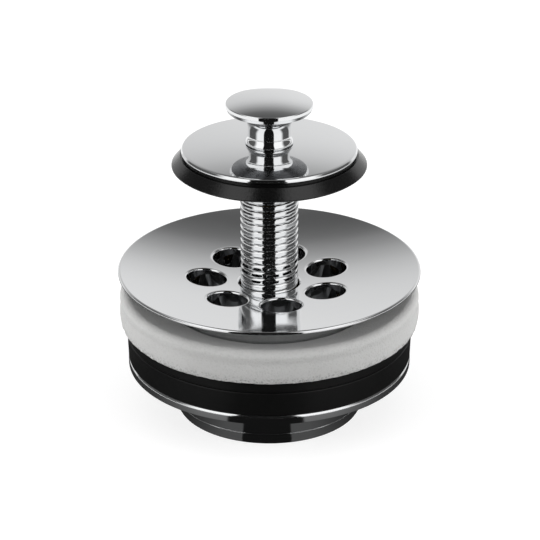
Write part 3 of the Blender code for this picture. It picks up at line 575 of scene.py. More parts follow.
def hole_grid(s, middle, bottom, inner, outer, sheet_height):
    """Grid round one drain hole, from the grid's underside, up the hole's wall, to the dish.

    The loop runs once round a sector of the ring between two radii: out at the outer radius,
    inwards along one side, back at the inner radius and outwards along the other. Each point of
    the loop looks from the hole's centre in the direction of its place on the dish. Rows go
    from the underside's loop to the hole's edge, round it, up the wall, round the rim, and from
    there straight to the dish's loop at the sphere's height. With the hole's radius R and the
    rim's rounding e, the rim's rows stand R + e - e cos t from the centre.
    """
    half = math.pi / s.holes
    arc = np.linspace(-half, half, COLUMNS // s.holes + 1)
    side = np.linspace(0, 1, 15)[1:]
    sides = np.full(len(side), half)
    angle = middle + np.concatenate([arc, sides, -arc[1:], -sides])
    share_out = np.concatenate([np.ones(len(arc)), 1 - side, np.zeros(len(arc) - 1), side])
    direction = np.stack([np.cos(angle), np.sin(angle)], 1)
    below, above = (
        direction * (near + (far - near) * share_out)[:, None] for near, far in zip(inner, outer))
    centre = s.hole_circle * np.array([math.cos(middle), math.sin(middle)])
    away = above - centre
    away /= np.linalg.norm(away, axis=1, keepdims=True)
    edge, rim = 0.1 * MM, 0.45 * MM
    edge_turn = np.linspace(0, math.pi / 2, 4)[:, None]
    rim_turn = np.linspace(0, math.pi / 2, 8)[:, None]
    edge_reach = s.hole_radius + edge * (1 - np.sin(edge_turn))
    rim_reach = s.hole_radius + rim * (1 - np.cos(rim_turn))
    rim_plan = centre + (s.hole_radius + rim) * away
    rim_height = sheet_height(np.linalg.norm(rim_plan, axis=1))
    under = below + np.linspace(0, 1, 4)[:-1, None, None] * (
        centre + edge_reach[0] * away - below)
    over = rim_plan + np.linspace(0, 1, 11)[1:, None, None] * (above - rim_plan)
    over_radius = np.linalg.norm(over, axis=2)
    plan = np.concatenate([
        under, centre + edge_reach[..., None] * away, centre + rim_reach[..., None] * away, over])
    level, round_loop = np.ones(under.shape[:2]), np.ones(len(angle))
    rise = np.concatenate([
        bottom * level, (bottom + edge * (1 - np.cos(edge_turn))) * round_loop,
        rim_height - rim * (1 - np.sin(rim_turn)), sheet_height(over_radius)])
    lean = np.concatenate([
        -level, -np.cos(edge_turn) * round_loop, np.sin(rim_turn) * round_loop])
    flatness = np.sqrt(np.maximum(1 - lean ** 2, 0))
    normals = np.concatenate([-flatness[..., None] * away, lean[..., None]], 2)
    dish = np.concatenate([-over, np.sqrt(s.bowl ** 2 - over_radius ** 2)[..., None]], 2) / s.bowl
    return np.concatenate([plan, rise[..., None]], 2), np.concatenate([normals, dish])


class OBJECT_OT_drain_strainer(bpy.types.Operator):
    """Build the dished strainer body with its drain holes, hub and grooved tail"""

    bl_idname = "object.drain_strainer"
    bl_label = "Strainer body"

    def execute(self, context):
        s, finish = context.scene.drain_strainer, context.scene.drain_finish
        lowest = s.lip_height - sag(s.lip_radius, s.bowl)
        under, hub_bottom = s.lip_height - 8 * MM, RUBBER_TOP
        chamber = s.tail_radius - 0.4 * MM
        pocket, clearance, rim = 7.8 * MM, 6.3 * MM, 6.7 * MM
        groove_top, groove_bottom, groove = 7.45 * MM, 6.05 * MM, 16.9 * MM
        # The holes' grids reach these radii, on the underside and on the dish.
        inner, outer = (8.05 * MM, 7.6 * MM), (chamber - 0.04 * MM, 18.6 * MM)

        def dish(radius):
            return lowest + sag(radius, s.bowl)

        def along_dish(first, last, count, drop=0.0):
            radii = np.linspace(first, last, count)
            return on_curve(radii, dish(radii) - drop)

        pocket_top = dish(pocket) - 0.8 * MM
        flange = [
            *along_dish(outer[1], s.lip_radius - 0.6 * MM, 30),
            (s.lip_radius, s.lip_height, 0.42 * MM),
            (s.lip_radius, s.lip_height - 0.7 * MM, 0.15 * MM),
            *along_dish(s.lip_radius - 2.4 * MM, s.hub_radius + 1.2 * MM, 12, drop=s.sheet),
            (s.hub_radius, dish(s.hub_radius) - s.sheet, 0.9 * MM),
            (s.hub_radius, hub_bottom, 0.5 * MM),
            (s.tail_radius, hub_bottom, 0.2 * MM),
        ]
        tail = [
            (s.tail_radius, hub_bottom - 0.5 * MM, ON_CURVE),
            (s.tail_radius, groove_top, 0.1 * MM),
            (groove, groove_top, 0.2 * MM),
            (groove, groove_bottom, 0.2 * MM),
            (s.tail_radius, groove_bottom, 0.1 * MM),
            (s.tail_radius, TAIL_END, 0.4 * MM),
            (s.bore_radius, TAIL_END, 0.3 * MM),
            (s.bore_radius, hub_bottom, 0.6 * MM),
            (chamber, under - 1.5 * MM, 0.4 * MM),
            (chamber, under, 0.03 * MM),
            (outer[0], under, ON_CURVE),
        ]
        centre = [
            (inner[0], under, ON_CURVE),
            (pocket, under, 0.12 * MM),
            (pocket, pocket_top, 0.1 * MM),
            (clearance, pocket_top, 0.1 * MM),
            (clearance, dish(rim) - 0.35 * MM, 0.2 * MM),
            (rim, dish(rim), 0.12 * MM),
            *along_dish(rim + 0.25 * MM, inner[1], 4),
        ]
        path, normals = outline(flange[-1:] + tail)
        start = np.argmax(path[:, 1] < hub_bottom - 0.4 * MM)
        angles = round_angles(COLUMNS, s.first_hole - math.pi / s.holes)
        grids = [(*turned(profile, angles), number) for profile, number in (
            (outline(flange + tail[:1]), 0), (outline(centre), 0),
            ((path[start:], normals[start:]), 1))]
        for number in range(s.holes):
            middle = s.first_hole + FULL_TURN * number / s.holes
            grids.append((*hole_grid(s, middle, under, inner, outer, dish), 0))
        make_piece("chromed_strainer", grids, [
            plated_chrome("polished chrome flange", finish.chrome, finish.polish),
            turned_metal("dull plated tail", linear_colour("b0b1b3"), 0.4)],
            "valve_body", "flange_chrome", "strainer_body")
        return {"FINISHED"}


class OBJECT_OT_drain_bush(bpy.types.Operator):
    """Build the tapped bush in the hub"""

    bl_idname = "object.drain_bush"
    bl_label = "Stem bush"

    def execute(self, context):
        outer, bottom, top = reach("stem_bush")
        bore, sleeve = 6.3 * MM, 7.5 * MM
        low, high = 22.25 * MM, 23.45 * MM
        ring_piece("tapped_bush", [
            (bore, top, 0.25 * MM), (sleeve, top, 0.2 * MM), (sleeve, high, 0.1 * MM),
            (outer, high, 0.15 * MM), (outer, low, 0.15 * MM), (sleeve, low, 0.1 * MM),
            (sleeve, bottom, 0.2 * MM), (bore, bottom, 0.25 * MM)],
            SMALL_COLUMNS,
            turned_metal("turned brass bush", context.scene.drain_finish.brass, 0.22),
            "valve_body", "bush_brass", "stem_bush")
        return {"FINISHED"}


class OBJECT_OT_drain_stem(bpy.types.Operator):
    """Build the threaded stem"""

    bl_idname = "object.drain_stem"
    bl_label = "Threaded stem"

    def execute(self, context):
        t, finish = context.scene.drain_stem, context.scene.drain_finish
        angles = round_angles(96)
        bore, recess = 2.8 * MM, 4.1 * MM
        bore_end, recess_floor = 47.74 * MM, 55.74 * MM
        chamfer, groove, nudge = t.depth + 0.15 * MM, 5.3 * MM, 0.01 * MM
        # The radius that the chamfers and the clips' two grooves allow at each height.
        limit = [(STEM_BOTTOM, t.radius - chamfer), (STEM_BOTTOM + chamfer, t.radius)]
        for low, high in ((19.05 * MM, 20.35 * MM), (52.84 * MM, 54.14 * MM)):
            limit += [
                (low - nudge, t.radius), (low, groove), (high, groove), (high + nudge, t.radius)]
        limit += [(STEM_TOP - chamfer, t.radius), (STEM_TOP, t.radius - chamfer)]
        places, allowed = np.array(limit).T
        rows_a_turn = 20
        rows = int((STEM_TOP - STEM_BOTTOM) / t.pitch * rows_a_turn)
        height = np.union1d(np.linspace(STEM_BOTTOM, STEM_TOP, rows), places)[::-1, None]
        radius = np.minimum(
            np.interp(height, places, allowed),
            t.radius - t.depth * thread_depth(height, angles, t.pitch, t.crest, t.root))
        top = outline([
            (0.0, bore_end, ON_CURVE), (bore, bore_end, 0.3 * MM), (bore, recess_floor, 0.1 * MM),
            (recess, recess_floor, 0.2 * MM), (recess, STEM_TOP, 0.2 * MM),
            (t.radius - chamfer, STEM_TOP, ON_CURVE)])
        foot = outline([(t.radius - chamfer, STEM_BOTTOM, ON_CURVE), (0.0, STEM_BOTTOM, ON_CURVE)])
        grids = [carried_round(radius, height, angles), *(
            turned(end, angles)[0] for end in (top, foot))]
        stem = make_piece("rolled_thread_stem", [(grid, None, 0) for grid in grids], [
            rolled_thread("chrome on rolled thread", finish.thread, t.radius - t.depth, t.radius)],
            "spindle", "stem_chrome", "threaded_stem")
        stem.data.set_sharp_from_angle(angle=math.radians(50))
        return {"FINISHED"}


def clip_grid(bottom, top, columns=97):
    """Open spring clip: a section carried round 310 degrees, its ends drawn in to a point.

    The section is a rectangle with small rounds. Its width follows 1 - 0.22 |2 s - 1|^3 along
    the share s of the way round, so it is widest opposite the opening. At each end the last two
    columns shrink towards the section's middle, which closes the end.
    """
    inside, outside, half_gap = 5.6 * MM, 7.7 * MM, math.radians(25)
    section, _ = outline(box_section(inside, outside, bottom, top, 0.12 * MM), closed=True)
    along = np.linspace(0, 1, columns)
    angle = half_gap + along * (FULL_TURN - 2 * half_gap)
    angle[[1, -2]] = angle[[2, -3]]
    width = 1 - 0.22 * np.abs(2 * along - 1) ** 3
    draw = np.ones(columns)
    draw[[0, 1, -2, -1]] = 0.0, 0.7, 0.7, 0.0
    radius = inside + (section[:, :1] - inside) * width
    height = section[:, 1:] * np.ones(columns)
    radius, height = (
        values.mean(0) + (values - values.mean(0)) * draw for values in (radius, height))
    return carried_round(radius, height, angle)


class OBJECT_OT_drain_clips(bpy.types.Operator):
    """Build the two spring clips and the stop washer on the stem"""

    bl_idname = "object.drain_clips"
    bl_label = "Clips and washer"

    def execute(self, context):
        steel = turned_metal(
            "stainless spring steel", context.scene.drain_finish.steel, 0.28,
            feed=0.1 * MM, depth=0.001 * MM)
        for name, node in (
                ("open_carrier_clip", "carrier_circlip"), ("open_stop_clip", "stop_circlip")):
            _, bottom, top = reach(node)
            make_piece(name, [(clip_grid(bottom, top), None, 0)], [steel],
                       "spindle", "spring_steel", node)
        outer, bottom, top = reach("stop_washer")
        bore = 6.3 * MM
        ring_piece("pressed_washer", [
            (bore, top, 0.1 * MM), (outer, top, 0.25 * MM),
            (outer, bottom, 0.1 * MM), (bore, bottom, 0.2 * MM)],
            SMALL_COLUMNS, steel, "spindle", "spring_steel", "stop_washer")
        return {"FINISHED"}


class OBJECT_OT_drain_plate(bpy.types.Operator):
    """Build the convex stopper plate"""

    bl_idname = "object.drain_plate"
    bl_label = "Stopper plate"

    def execute(self, context):
        p, finish = context.scene.drain_stopper, context.scene.drain_finish
        rim_top, hole = PLATE_BOTTOM + 0.8 * MM, 2.8 * MM
        radii = np.array([hole, *np.linspace(hole + 0.3 * MM, p.plate_radius - 0.5 * MM, 40)])
        dome = rim_top + p.plate_rise - sag(radii, sphere_of(p.plate_radius, p.plate_rise))
        ring_piece("domed_plate", [
            (hole, dome[0], 0.15 * MM), *on_curve(radii[1:], dome[1:]),
            (p.plate_radius - 0.26 * MM, rim_top, 0.1 * MM),
            (p.plate_radius, rim_top - 0.38 * MM, 0.12 * MM),
            (p.plate_radius, PLATE_BOTTOM, 0.26 * MM), (hole, PLATE_BOTTOM, 0.1 * MM)],
            COLUMNS,
            plated_chrome("polished chrome plate", finish.chrome, finish.polish, scuff=0.03),
            "spindle", "plate_chrome", "stopper_plate")
        return {"FINISHED"}


class OBJECT_OT_drain_seal(bpy.types.Operator):
    """Build the stopper's moulded rubber seal"""

    bl_idname = "object.drain_seal"
    bl_label = "Stopper seal"

    def execute(self, context):
        p, finish = context.scene.drain_stopper, context.scene.drain_finish
        inside, groove, collar, shoulder = 14.4 * MM, 16 * MM, 17.4 * MM, 18.2 * MM
        step, skirt_end = SEAL_TOP - 0.4 * MM, SEAL_BOTTOM + 0.4 * MM
        groove_top, groove_bottom = SEAL_TOP - 0.6 * MM, SEAL_BOTTOM + 0.6 * MM
        ring_piece("moulded_seal", [
            (inside, SEAL_TOP, 0.15 * MM), (collar, SEAL_TOP, 0.1 * MM), (collar, step, 0.1 * MM),
            (shoulder, step, 0.12 * MM), (p.seal_radius, skirt_end, 0.15 * MM),
            (p.seal_radius - 0.53 * MM, SEAL_BOTTOM, 0.1 * MM), (inside, SEAL_BOTTOM, 0.2 * MM),
            (inside, groove_bottom, 0.1 * MM), (groove, groove_bottom, 0.15 * MM),
            (groove, groove_top, 0.15 * MM), (inside, groove_top, 0.1 * MM)],
            COLUMNS, moulded_rubber("satin moulded rubber", finish.seal, 0.17, 0.55),
            "seal_group", "seal_rubber", "stopper_seal")
        return {"FINISHED"}


class OBJECT_OT_drain_carrier(bpy.types.Operator):
    """Build the seal's brass carrier and the nylon slip ring above it"""

    bl_idname = "object.drain_carrier"
    bl_label = "Seal carrier and slip ring"

    def execute(self, context):
        finish = context.scene.drain_finish
        columns, rounding = 160, 0.2 * MM
        outer, bottom, top = reach("seal_carrier")
        bore, hub = 6.3 * MM, 8.3 * MM
        step = bottom + 0.9 * MM
        ring_piece("turned_carrier", [
            (bore, top, rounding), (outer, top, rounding), (outer, step, rounding),
            (hub, step, rounding), (hub, bottom, rounding), (bore, bottom, rounding)],
            columns, turned_metal("turned brass carrier", finish.brass, 0.22),
            "seal_group", "carrier_brass", "seal_carrier")
        outer, bottom, top = reach("slip_ring")
        ring_piece("nylon_slip_ring", box_section(bore, outer, bottom, top, 0.12 * MM),
                   columns, moulded_nylon("natural nylon slip ring", finish.nylon),
                   "seal_group", "nylon", "slip_ring")
        return {"FINISHED"}


class OBJECT_OT_drain_o_rings(bpy.types.Operator):
    """Build the O-rings of the plate and of the tail"""

    bl_idname = "object.drain_o_rings"
    bl_label = "O-rings"

    def execute(self, context):
        rubber = moulded_rubber(
            "smooth moulded o-ring rubber", context.scene.drain_finish.rubber, 0.34, 0.4)
        for name, node, body, columns in (
                ("plate_seal_ring", "plate_o_ring", "spindle", SMALL_COLUMNS),
                ("tail_seal_ring", "tail_o_ring", "valve_body", COLUMNS)):
            outer, bottom, top = reach(node)
            half = (top - bottom) / 2
            section = ring_section((outer - half, bottom + half), half)
            make_piece(name, [(*turned(section, round_angles(columns)), 0)], [rubber],
                       body, "o_ring_rubber", node)
        return {"FINISHED"}


class OBJECT_OT_drain_stud(bpy.types.Operator):
    """Build the stud that joins knob and stem"""

    bl_idname = "object.drain_stud"
    bl_label = "Knob stud"

    def execute(self, context):
        outer, bottom, top = reach("knob_stud")
        pitch, depth, chamfer = 0.8 * MM, 0.4 * MM, 0.5 * MM
        angles = round_angles(64)
        height = np.linspace(top, bottom, 240)[:, None]
        edge = np.minimum(top - height, height - bottom)
        radius = np.minimum(
            outer - np.clip(chamfer - edge, 0, chamfer),
            outer - depth * thread_depth(height, angles, pitch, 0.2, 0.2))
        ends = [turned(outline(ends), angles)[0] for ends in (
            [(0.0, top, ON_CURVE), (outer - chamfer, top, ON_CURVE)],
            [(outer - chamfer, bottom, ON_CURVE), (0.0, bottom, ON_CURVE)])]
        grids = [carried_round(radius, height, angles), *ends]
        make_piece("threaded_stud", [(grid, None, 0) for grid in grids], [
            turned_metal("plain stainless stud", context.scene.drain_finish.steel, 0.3)],
            "spindle", "stud_steel", "knob_stud")
        return {"FINISHED"}


class OBJECT_OT_drain_knob(bpy.types.Operator):
    """Build the mushroom knob"""

    bl_idname = "object.drain_knob"
    bl_label = "Knob"

    def execute(self, context):
        k, finish = context.scene.drain_knob, context.scene.drain_finish
        dome_edge, dome_foot = k.rim_radius - 0.06 * MM, KNOB_TOP - k.dome_rise
        radii = np.linspace(0, dome_edge - 0.25 * MM, 30)
        dome = KNOB_TOP - sag(radii, sphere_of(dome_edge, k.dome_rise))
        rim_height, under = dome_foot - 0.75 * MM, dome_foot - 1.5 * MM
        seat = KNOB_BOTTOM - 0.38 * MM
        bead = seat + 0.25 * MM
        gap_top, gap_end = seat + 0.16 * MM, k.bead_radius - 0.5 * MM  # shadow gap on the plate
        hole, hole_top = 2.8 * MM, 66.34 * MM
        way = np.linspace(0, 1, 21)
        swell = (k.bead_radius - k.neck_radius) * (3 * way ** 2 - 2 * way ** 3)
        path, normals = outline([
            *on_curve(radii, dome),
            (dome_edge, dome_foot, 0.22 * MM),
            (k.rim_radius, rim_height, 0.25 * MM),
            (k.rim_radius - 0.4 * MM, under, 0.2 * MM),
            (k.neck_radius, under - 1.9 * MM, 3.0 * MM),
            *on_curve(k.neck_radius + swell, bead + 1.7 * MM * (1 - way)),
            (k.bead_radius - 0.08 * MM, gap_top, 0.04 * MM),
            (gap_end, gap_top, 0.04 * MM),
            (gap_end, seat, 0.04 * MM),
            (hole, seat, 0.12 * MM),
            (hole, hole_top, 0.3 * MM),
            (0.0, hole_top, ON_CURVE)])
        radius, height = path.T
        cap_end = np.argmax((height < under + 0.05 * MM) & (radius < k.rim_radius - 0.45 * MM))
        neck_top = np.argmax((height < under) & (radius < k.neck_radius + 0.8 * MM))
        angles = round_angles(COLUMNS)
        # The cap's underside, down to the top of the neck, gets a darker and duller grey metal:
        # painted shade under the cap.
        grids = [(*turned((path[rows], normals[rows]), angles), number) for rows, number in (
            (slice(0, cap_end + 1), 0), (slice(cap_end, neck_top + 1), 1),
            (slice(neck_top, None), 0))]
        make_piece("mushroom_knob", grids, [
            plated_chrome("polished chrome knob", finish.chrome, finish.polish, scuff=0.03),
            turned_metal("knob underside darkened as painted shade", linear_colour("78797b"), 0.24)],
            "spindle", "knob_chrome", "knob")
        return {"FINISHED"}


class OBJECT_OT_drain_foam(bpy.types.Operator):
    """Build the cut foam ring"""

    bl_idname = "object.drain_foam"
    bl_label = "Foam ring"

    def execute(self, context):
        g, finish = context.scene.drain_gaskets, context.scene.drain_finish
        shoulder, bottom = FOAM_TOP + 0.25 * MM, FOAM_BOTTOM - GAP_CLOSED
        inner_top = shoulder - math.tan(g.foam_slope) * (g.foam_radius - g.foam_bore)
        profile = outline([
            (g.foam_bore, inner_top, 0.5 * MM), (g.foam_radius, shoulder, 1.3 * MM),
            (g.foam_radius, bottom, 0.35 * MM), (g.foam_bore, bottom, 0.3 * MM)], closed=True)
        step = np.r_[0, np.cumsum(np.linalg.norm(np.diff(profile[0], axis=0), axis=1))]
        rows, columns = 150, 560
        at = np.linspace(0, step[-1], rows + 1)
        path, normals = (
            np.stack([np.interp(at, step, values[:, i]) for i in (0, 1)], 1) for values in profile)
        up = np.clip((path[:, 1] - bottom) / (shoulder - bottom), 0, 1)
        outside = np.clip(normals[:, 0], 0, 1)
        # The outer wall has a crease above its middle, a bulge below it and a drawn-in foot.
        crease, bulge, foot = bell(up, 0.6, 0.1), bell(up, 0.3, 0.2), (1 - up) ** 8
        path[:, 0] += outside * MM * (0.08 - 0.16 * crease + 0.12 * bulge - 0.3 * foot)
        grid, direction = turned((path, normals), round_angles(columns))
        # Slow unevenness, and cells that are deeper where the knife tore the lower edge.
        slow = soft_noise((rows, columns), (9, 22), 11)
        cells = np.minimum(soft_noise((rows, columns), (0.9, 0.9), 12), 0.6)
        torn = (bell(path[:, 1], bottom + 0.3 * MM, 0.6 * MM) * outside)[:-1, None]
        offset = 0.035 * MM * slow + (0.012 * MM + g.tear * torn) * cells + 0.04 * MM
        offset = np.pad(offset, ((0, 1), (0, 1)), mode="wrap")
        foam = make_piece("cut_foam_ring", [(grid + direction * offset[..., None], None, 0)], [
            cut_foam("cut closed-cell foam", finish.foam, g.cell)],
            "clamp_group", "foam", "foam_gasket")
        return {"FINISHED"}


class OBJECT_OT_drain_rubber(bpy.types.Operator):
    """Build the two rubber rings on each other"""

    bl_idname = "object.drain_rubber"
    bl_label = "Rubber rings"

    def execute(self, context):
        g, finish = context.scene.drain_gaskets, context.scene.drain_finish
        rubber = moulded_rubber("smooth moulded gasket rubber", finish.rubber, 0.36, 0.25)
        taper = 0.25 / 7.45  # both rings draw in by 0.25 mm over their 7.45 mm of height
        for name, node, bore in (
                ("upper_rubber_ring", "upper_rubber_gasket", 21.3 * MM),
                ("lower_rubber_ring", "lower_rubber_gasket", 18.3 * MM)):
            _, bottom, top = reach(node)
            bottom -= GAP_CLOSED
            wide = g.rubber_radius - taper * (RUBBER_TOP - top)
            narrow = g.rubber_radius - taper * (RUBBER_TOP - bottom)
            ring_piece(name, [
                (bore, top, 0.25 * MM), (wide, top, 0.28 * MM),
                (narrow, bottom, 0.28 * MM), (bore, bottom, 0.25 * MM)],
                COLUMNS, rubber, "clamp_group", "gasket_rubber", node)
        return {"FINISHED"}


class OBJECT_OT_drain_friction_ring(bpy.types.Operator):
    """Build the thin nylon ring in the nut's recess"""

    bl_idname = "object.drain_friction_ring"
    bl_label = "Friction ring"

    def execute(self, context):
        outer, bottom, top = reach("friction_ring")
        nylon = moulded_nylon("natural nylon friction ring", context.scene.drain_finish.nylon)
        ring_piece("nylon_friction_ring", box_section(18.6 * MM, outer, bottom, top, 0.1 * MM),
                   COLUMNS, nylon, "clamp_group", "nylon", "friction_ring")
        return {"FINISHED"}


class OBJECT_OT_drain_nut(bpy.types.Operator):
    """Build the flanged tail nut with its spigot and keyways"""

    bl_idname = "object.drain_nut"
    bl_label = "Tail nut"

    def execute(self, context):
        n, finish = context.scene.drain_nut, context.scene.drain_finish
        recess, floor, under = 28.3 * MM, 11.2 * MM, 10.1 * MM
        line, chamfer = 2.45 * MM, 1.05 * MM
        step, mouth = n.spigot_radius - 0.07 * MM, n.spigot_radius - 0.62 * MM
        path, normals = outline([
            (recess, NUT_TOP, 0.15 * MM), (n.flange_radius - 0.3 * MM, NUT_TOP, 0.25 * MM),
            (n.flange_radius, NUT_TOP - 0.4 * MM, 0.5 * MM),
            (n.flange_radius, under, 0.2 * MM), (n.spigot_radius, under, 0.8 * MM),
            (n.spigot_radius, line + 0.2 * MM, 0.03 * MM), (step, line + 0.12 * MM, 0.03 * MM),
            (step, line + 0.08 * MM, 0.03 * MM), (n.spigot_radius - 0.01 * MM, line, 0.04 * MM),
            (n.spigot_radius - 0.05 * MM, chamfer, 0.15 * MM), (mouth, NUT_BOTTOM, 0.1 * MM),
            (n.bore_radius, NUT_BOTTOM, 0.08 * MM),
            (n.bore_radius, n.key_height - 0.02 * MM, ON_CURVE),
            (n.bore_radius, n.key_height, ON_CURVE), (n.bore_radius, floor, 0.2 * MM),
            (recess, floor, 0.15 * MM)], closed=True)
        half = math.asin(n.key_width / 2 / n.bore_radius)
        keys = np.radians([45, 135, 225, 315])
        edges = keys[:, None] + half * np.array([-1.001, -0.999, 0.999, 1.001])
        angles = np.union1d(round_angles(COLUMNS), edges)
        in_key = (np.abs(angles[:, None] - keys) < half).any(1)
        radius, height = path.T[..., None]
        in_bore = (radius < n.bore_radius + 0.2 * MM) & (height < n.key_height - 0.01 * MM)
        grid, direction = turned((path, normals), angles)
        grid = grid + carried_round(n.key_depth * (in_bore & in_key), 0.0, angles)
        make_piece("flanged_tail_nut", [(grid, direction, 0)], [plated_chrome(
            "chrome plated turned nut", finish.chrome, finish.polish + 0.03, scuff=0.08)],
            "tail_nut_group", "nut_chrome", "tail_nut")
        return {"FINISHED"}


# Stage

# Edges in the set that mirrors see, each as a place and the blur on both sides of it. Turns
# round the valve are in degrees from the camera's side, heights in degrees over the horizon.
BLACK_CARD, BLACK_WEDGE = (27, 1.5), (25.5, 1)  # turns: behind the camera, and on the table
SIDE_FLAGS, SCREEN_EDGE = (72, 10), (128, 7)  # turns
RING_SIDE, RING_BACK = (70, 8), (128, 6)  # turns
FLAG_FOOT, FLAG_HEAD = (8, 2), (50, 6)  # heights
BOX_FOOT, BOX_HEAD = (5, 1), (70, 6)  # heights
RING_START, PAPER_START = (92 * MM, 5 * MM), (150 * MM, 6 * MM)  # distances from the axis

WEDGE_APEX = 8.1 * MM  # how far the black wedge's point lies in front of the axis
CARD_FADE = 40 * MM, 56 * MM  # distances between which the card under the valve pales
CARD_RISE = 2.9  # how many times paler it gets there
SIDE_TILT = -3  # degrees that the flags and the ring's dark sides are turned to the right
SCREEN_TOP = 0.15
SCREEN_TONES = (  # height over the horizon in degrees, and tone
    (12, 0.81), (19, 0.78), (25, 0.69), (31, 0.5), (36.5, 0.29), (42, 0.14), (47, 0.115),
    (54, 0.3))


def plain_square(name, half, height):
    """A square level face of that half width, as a two by two grid."""
    side = np.array([-half, half])
    x, y = np.meshgrid(side, side, indexing="ij")
    mesh = bpy.data.meshes.new(name)
    corners = np.stack([x, y, np.full((2, 2), height)], 2).reshape(-1, 3)
    mesh.from_pydata(corners.tolist(), [], [(0, 2, 3, 1)])
    square = bpy.data.objects.new(name, mesh)
    bpy.context.scene.collection.objects.link(square)
    return square


def turn_from_camera(tree, x, y, tilt=3):
    """Angle between the direction (x, y) and the -Y side, turned by that many degrees to the left.

    The camera stands on the -Y side. The angle is |atan2(x - y tan tilt, -y)|.
    """
    sideways = add_node(tree, "Math", {
        0: y, 1: -math.tan(math.radians(tilt)), 2: x}, operation="MULTIPLY_ADD")
    back = add_node(tree, "Math", {0: y, 1: -1.0}, operation="MULTIPLY")
    angle = add_node(tree, "Math", {0: sideways, 1: back}, operation="ARCTAN2")
    return add_node(tree, "Math", {0: angle}, operation="ABSOLUTE")


def soft_step(tree, value, place, blur):
    """Step from 0 to 1 where the value passes that place, softened over twice the blur."""
    return add_node(tree, "MapRange", {
        "Value": value, "From Min": place - blur, "From Max": place + blur},
        interpolation_type="SMOOTHSTEP")


def turn_step(tree, value, degrees, blur):
    """The soft step of an angle, with its place and blur in degrees."""
    return soft_step(tree, value, math.radians(degrees), math.radians(blur))


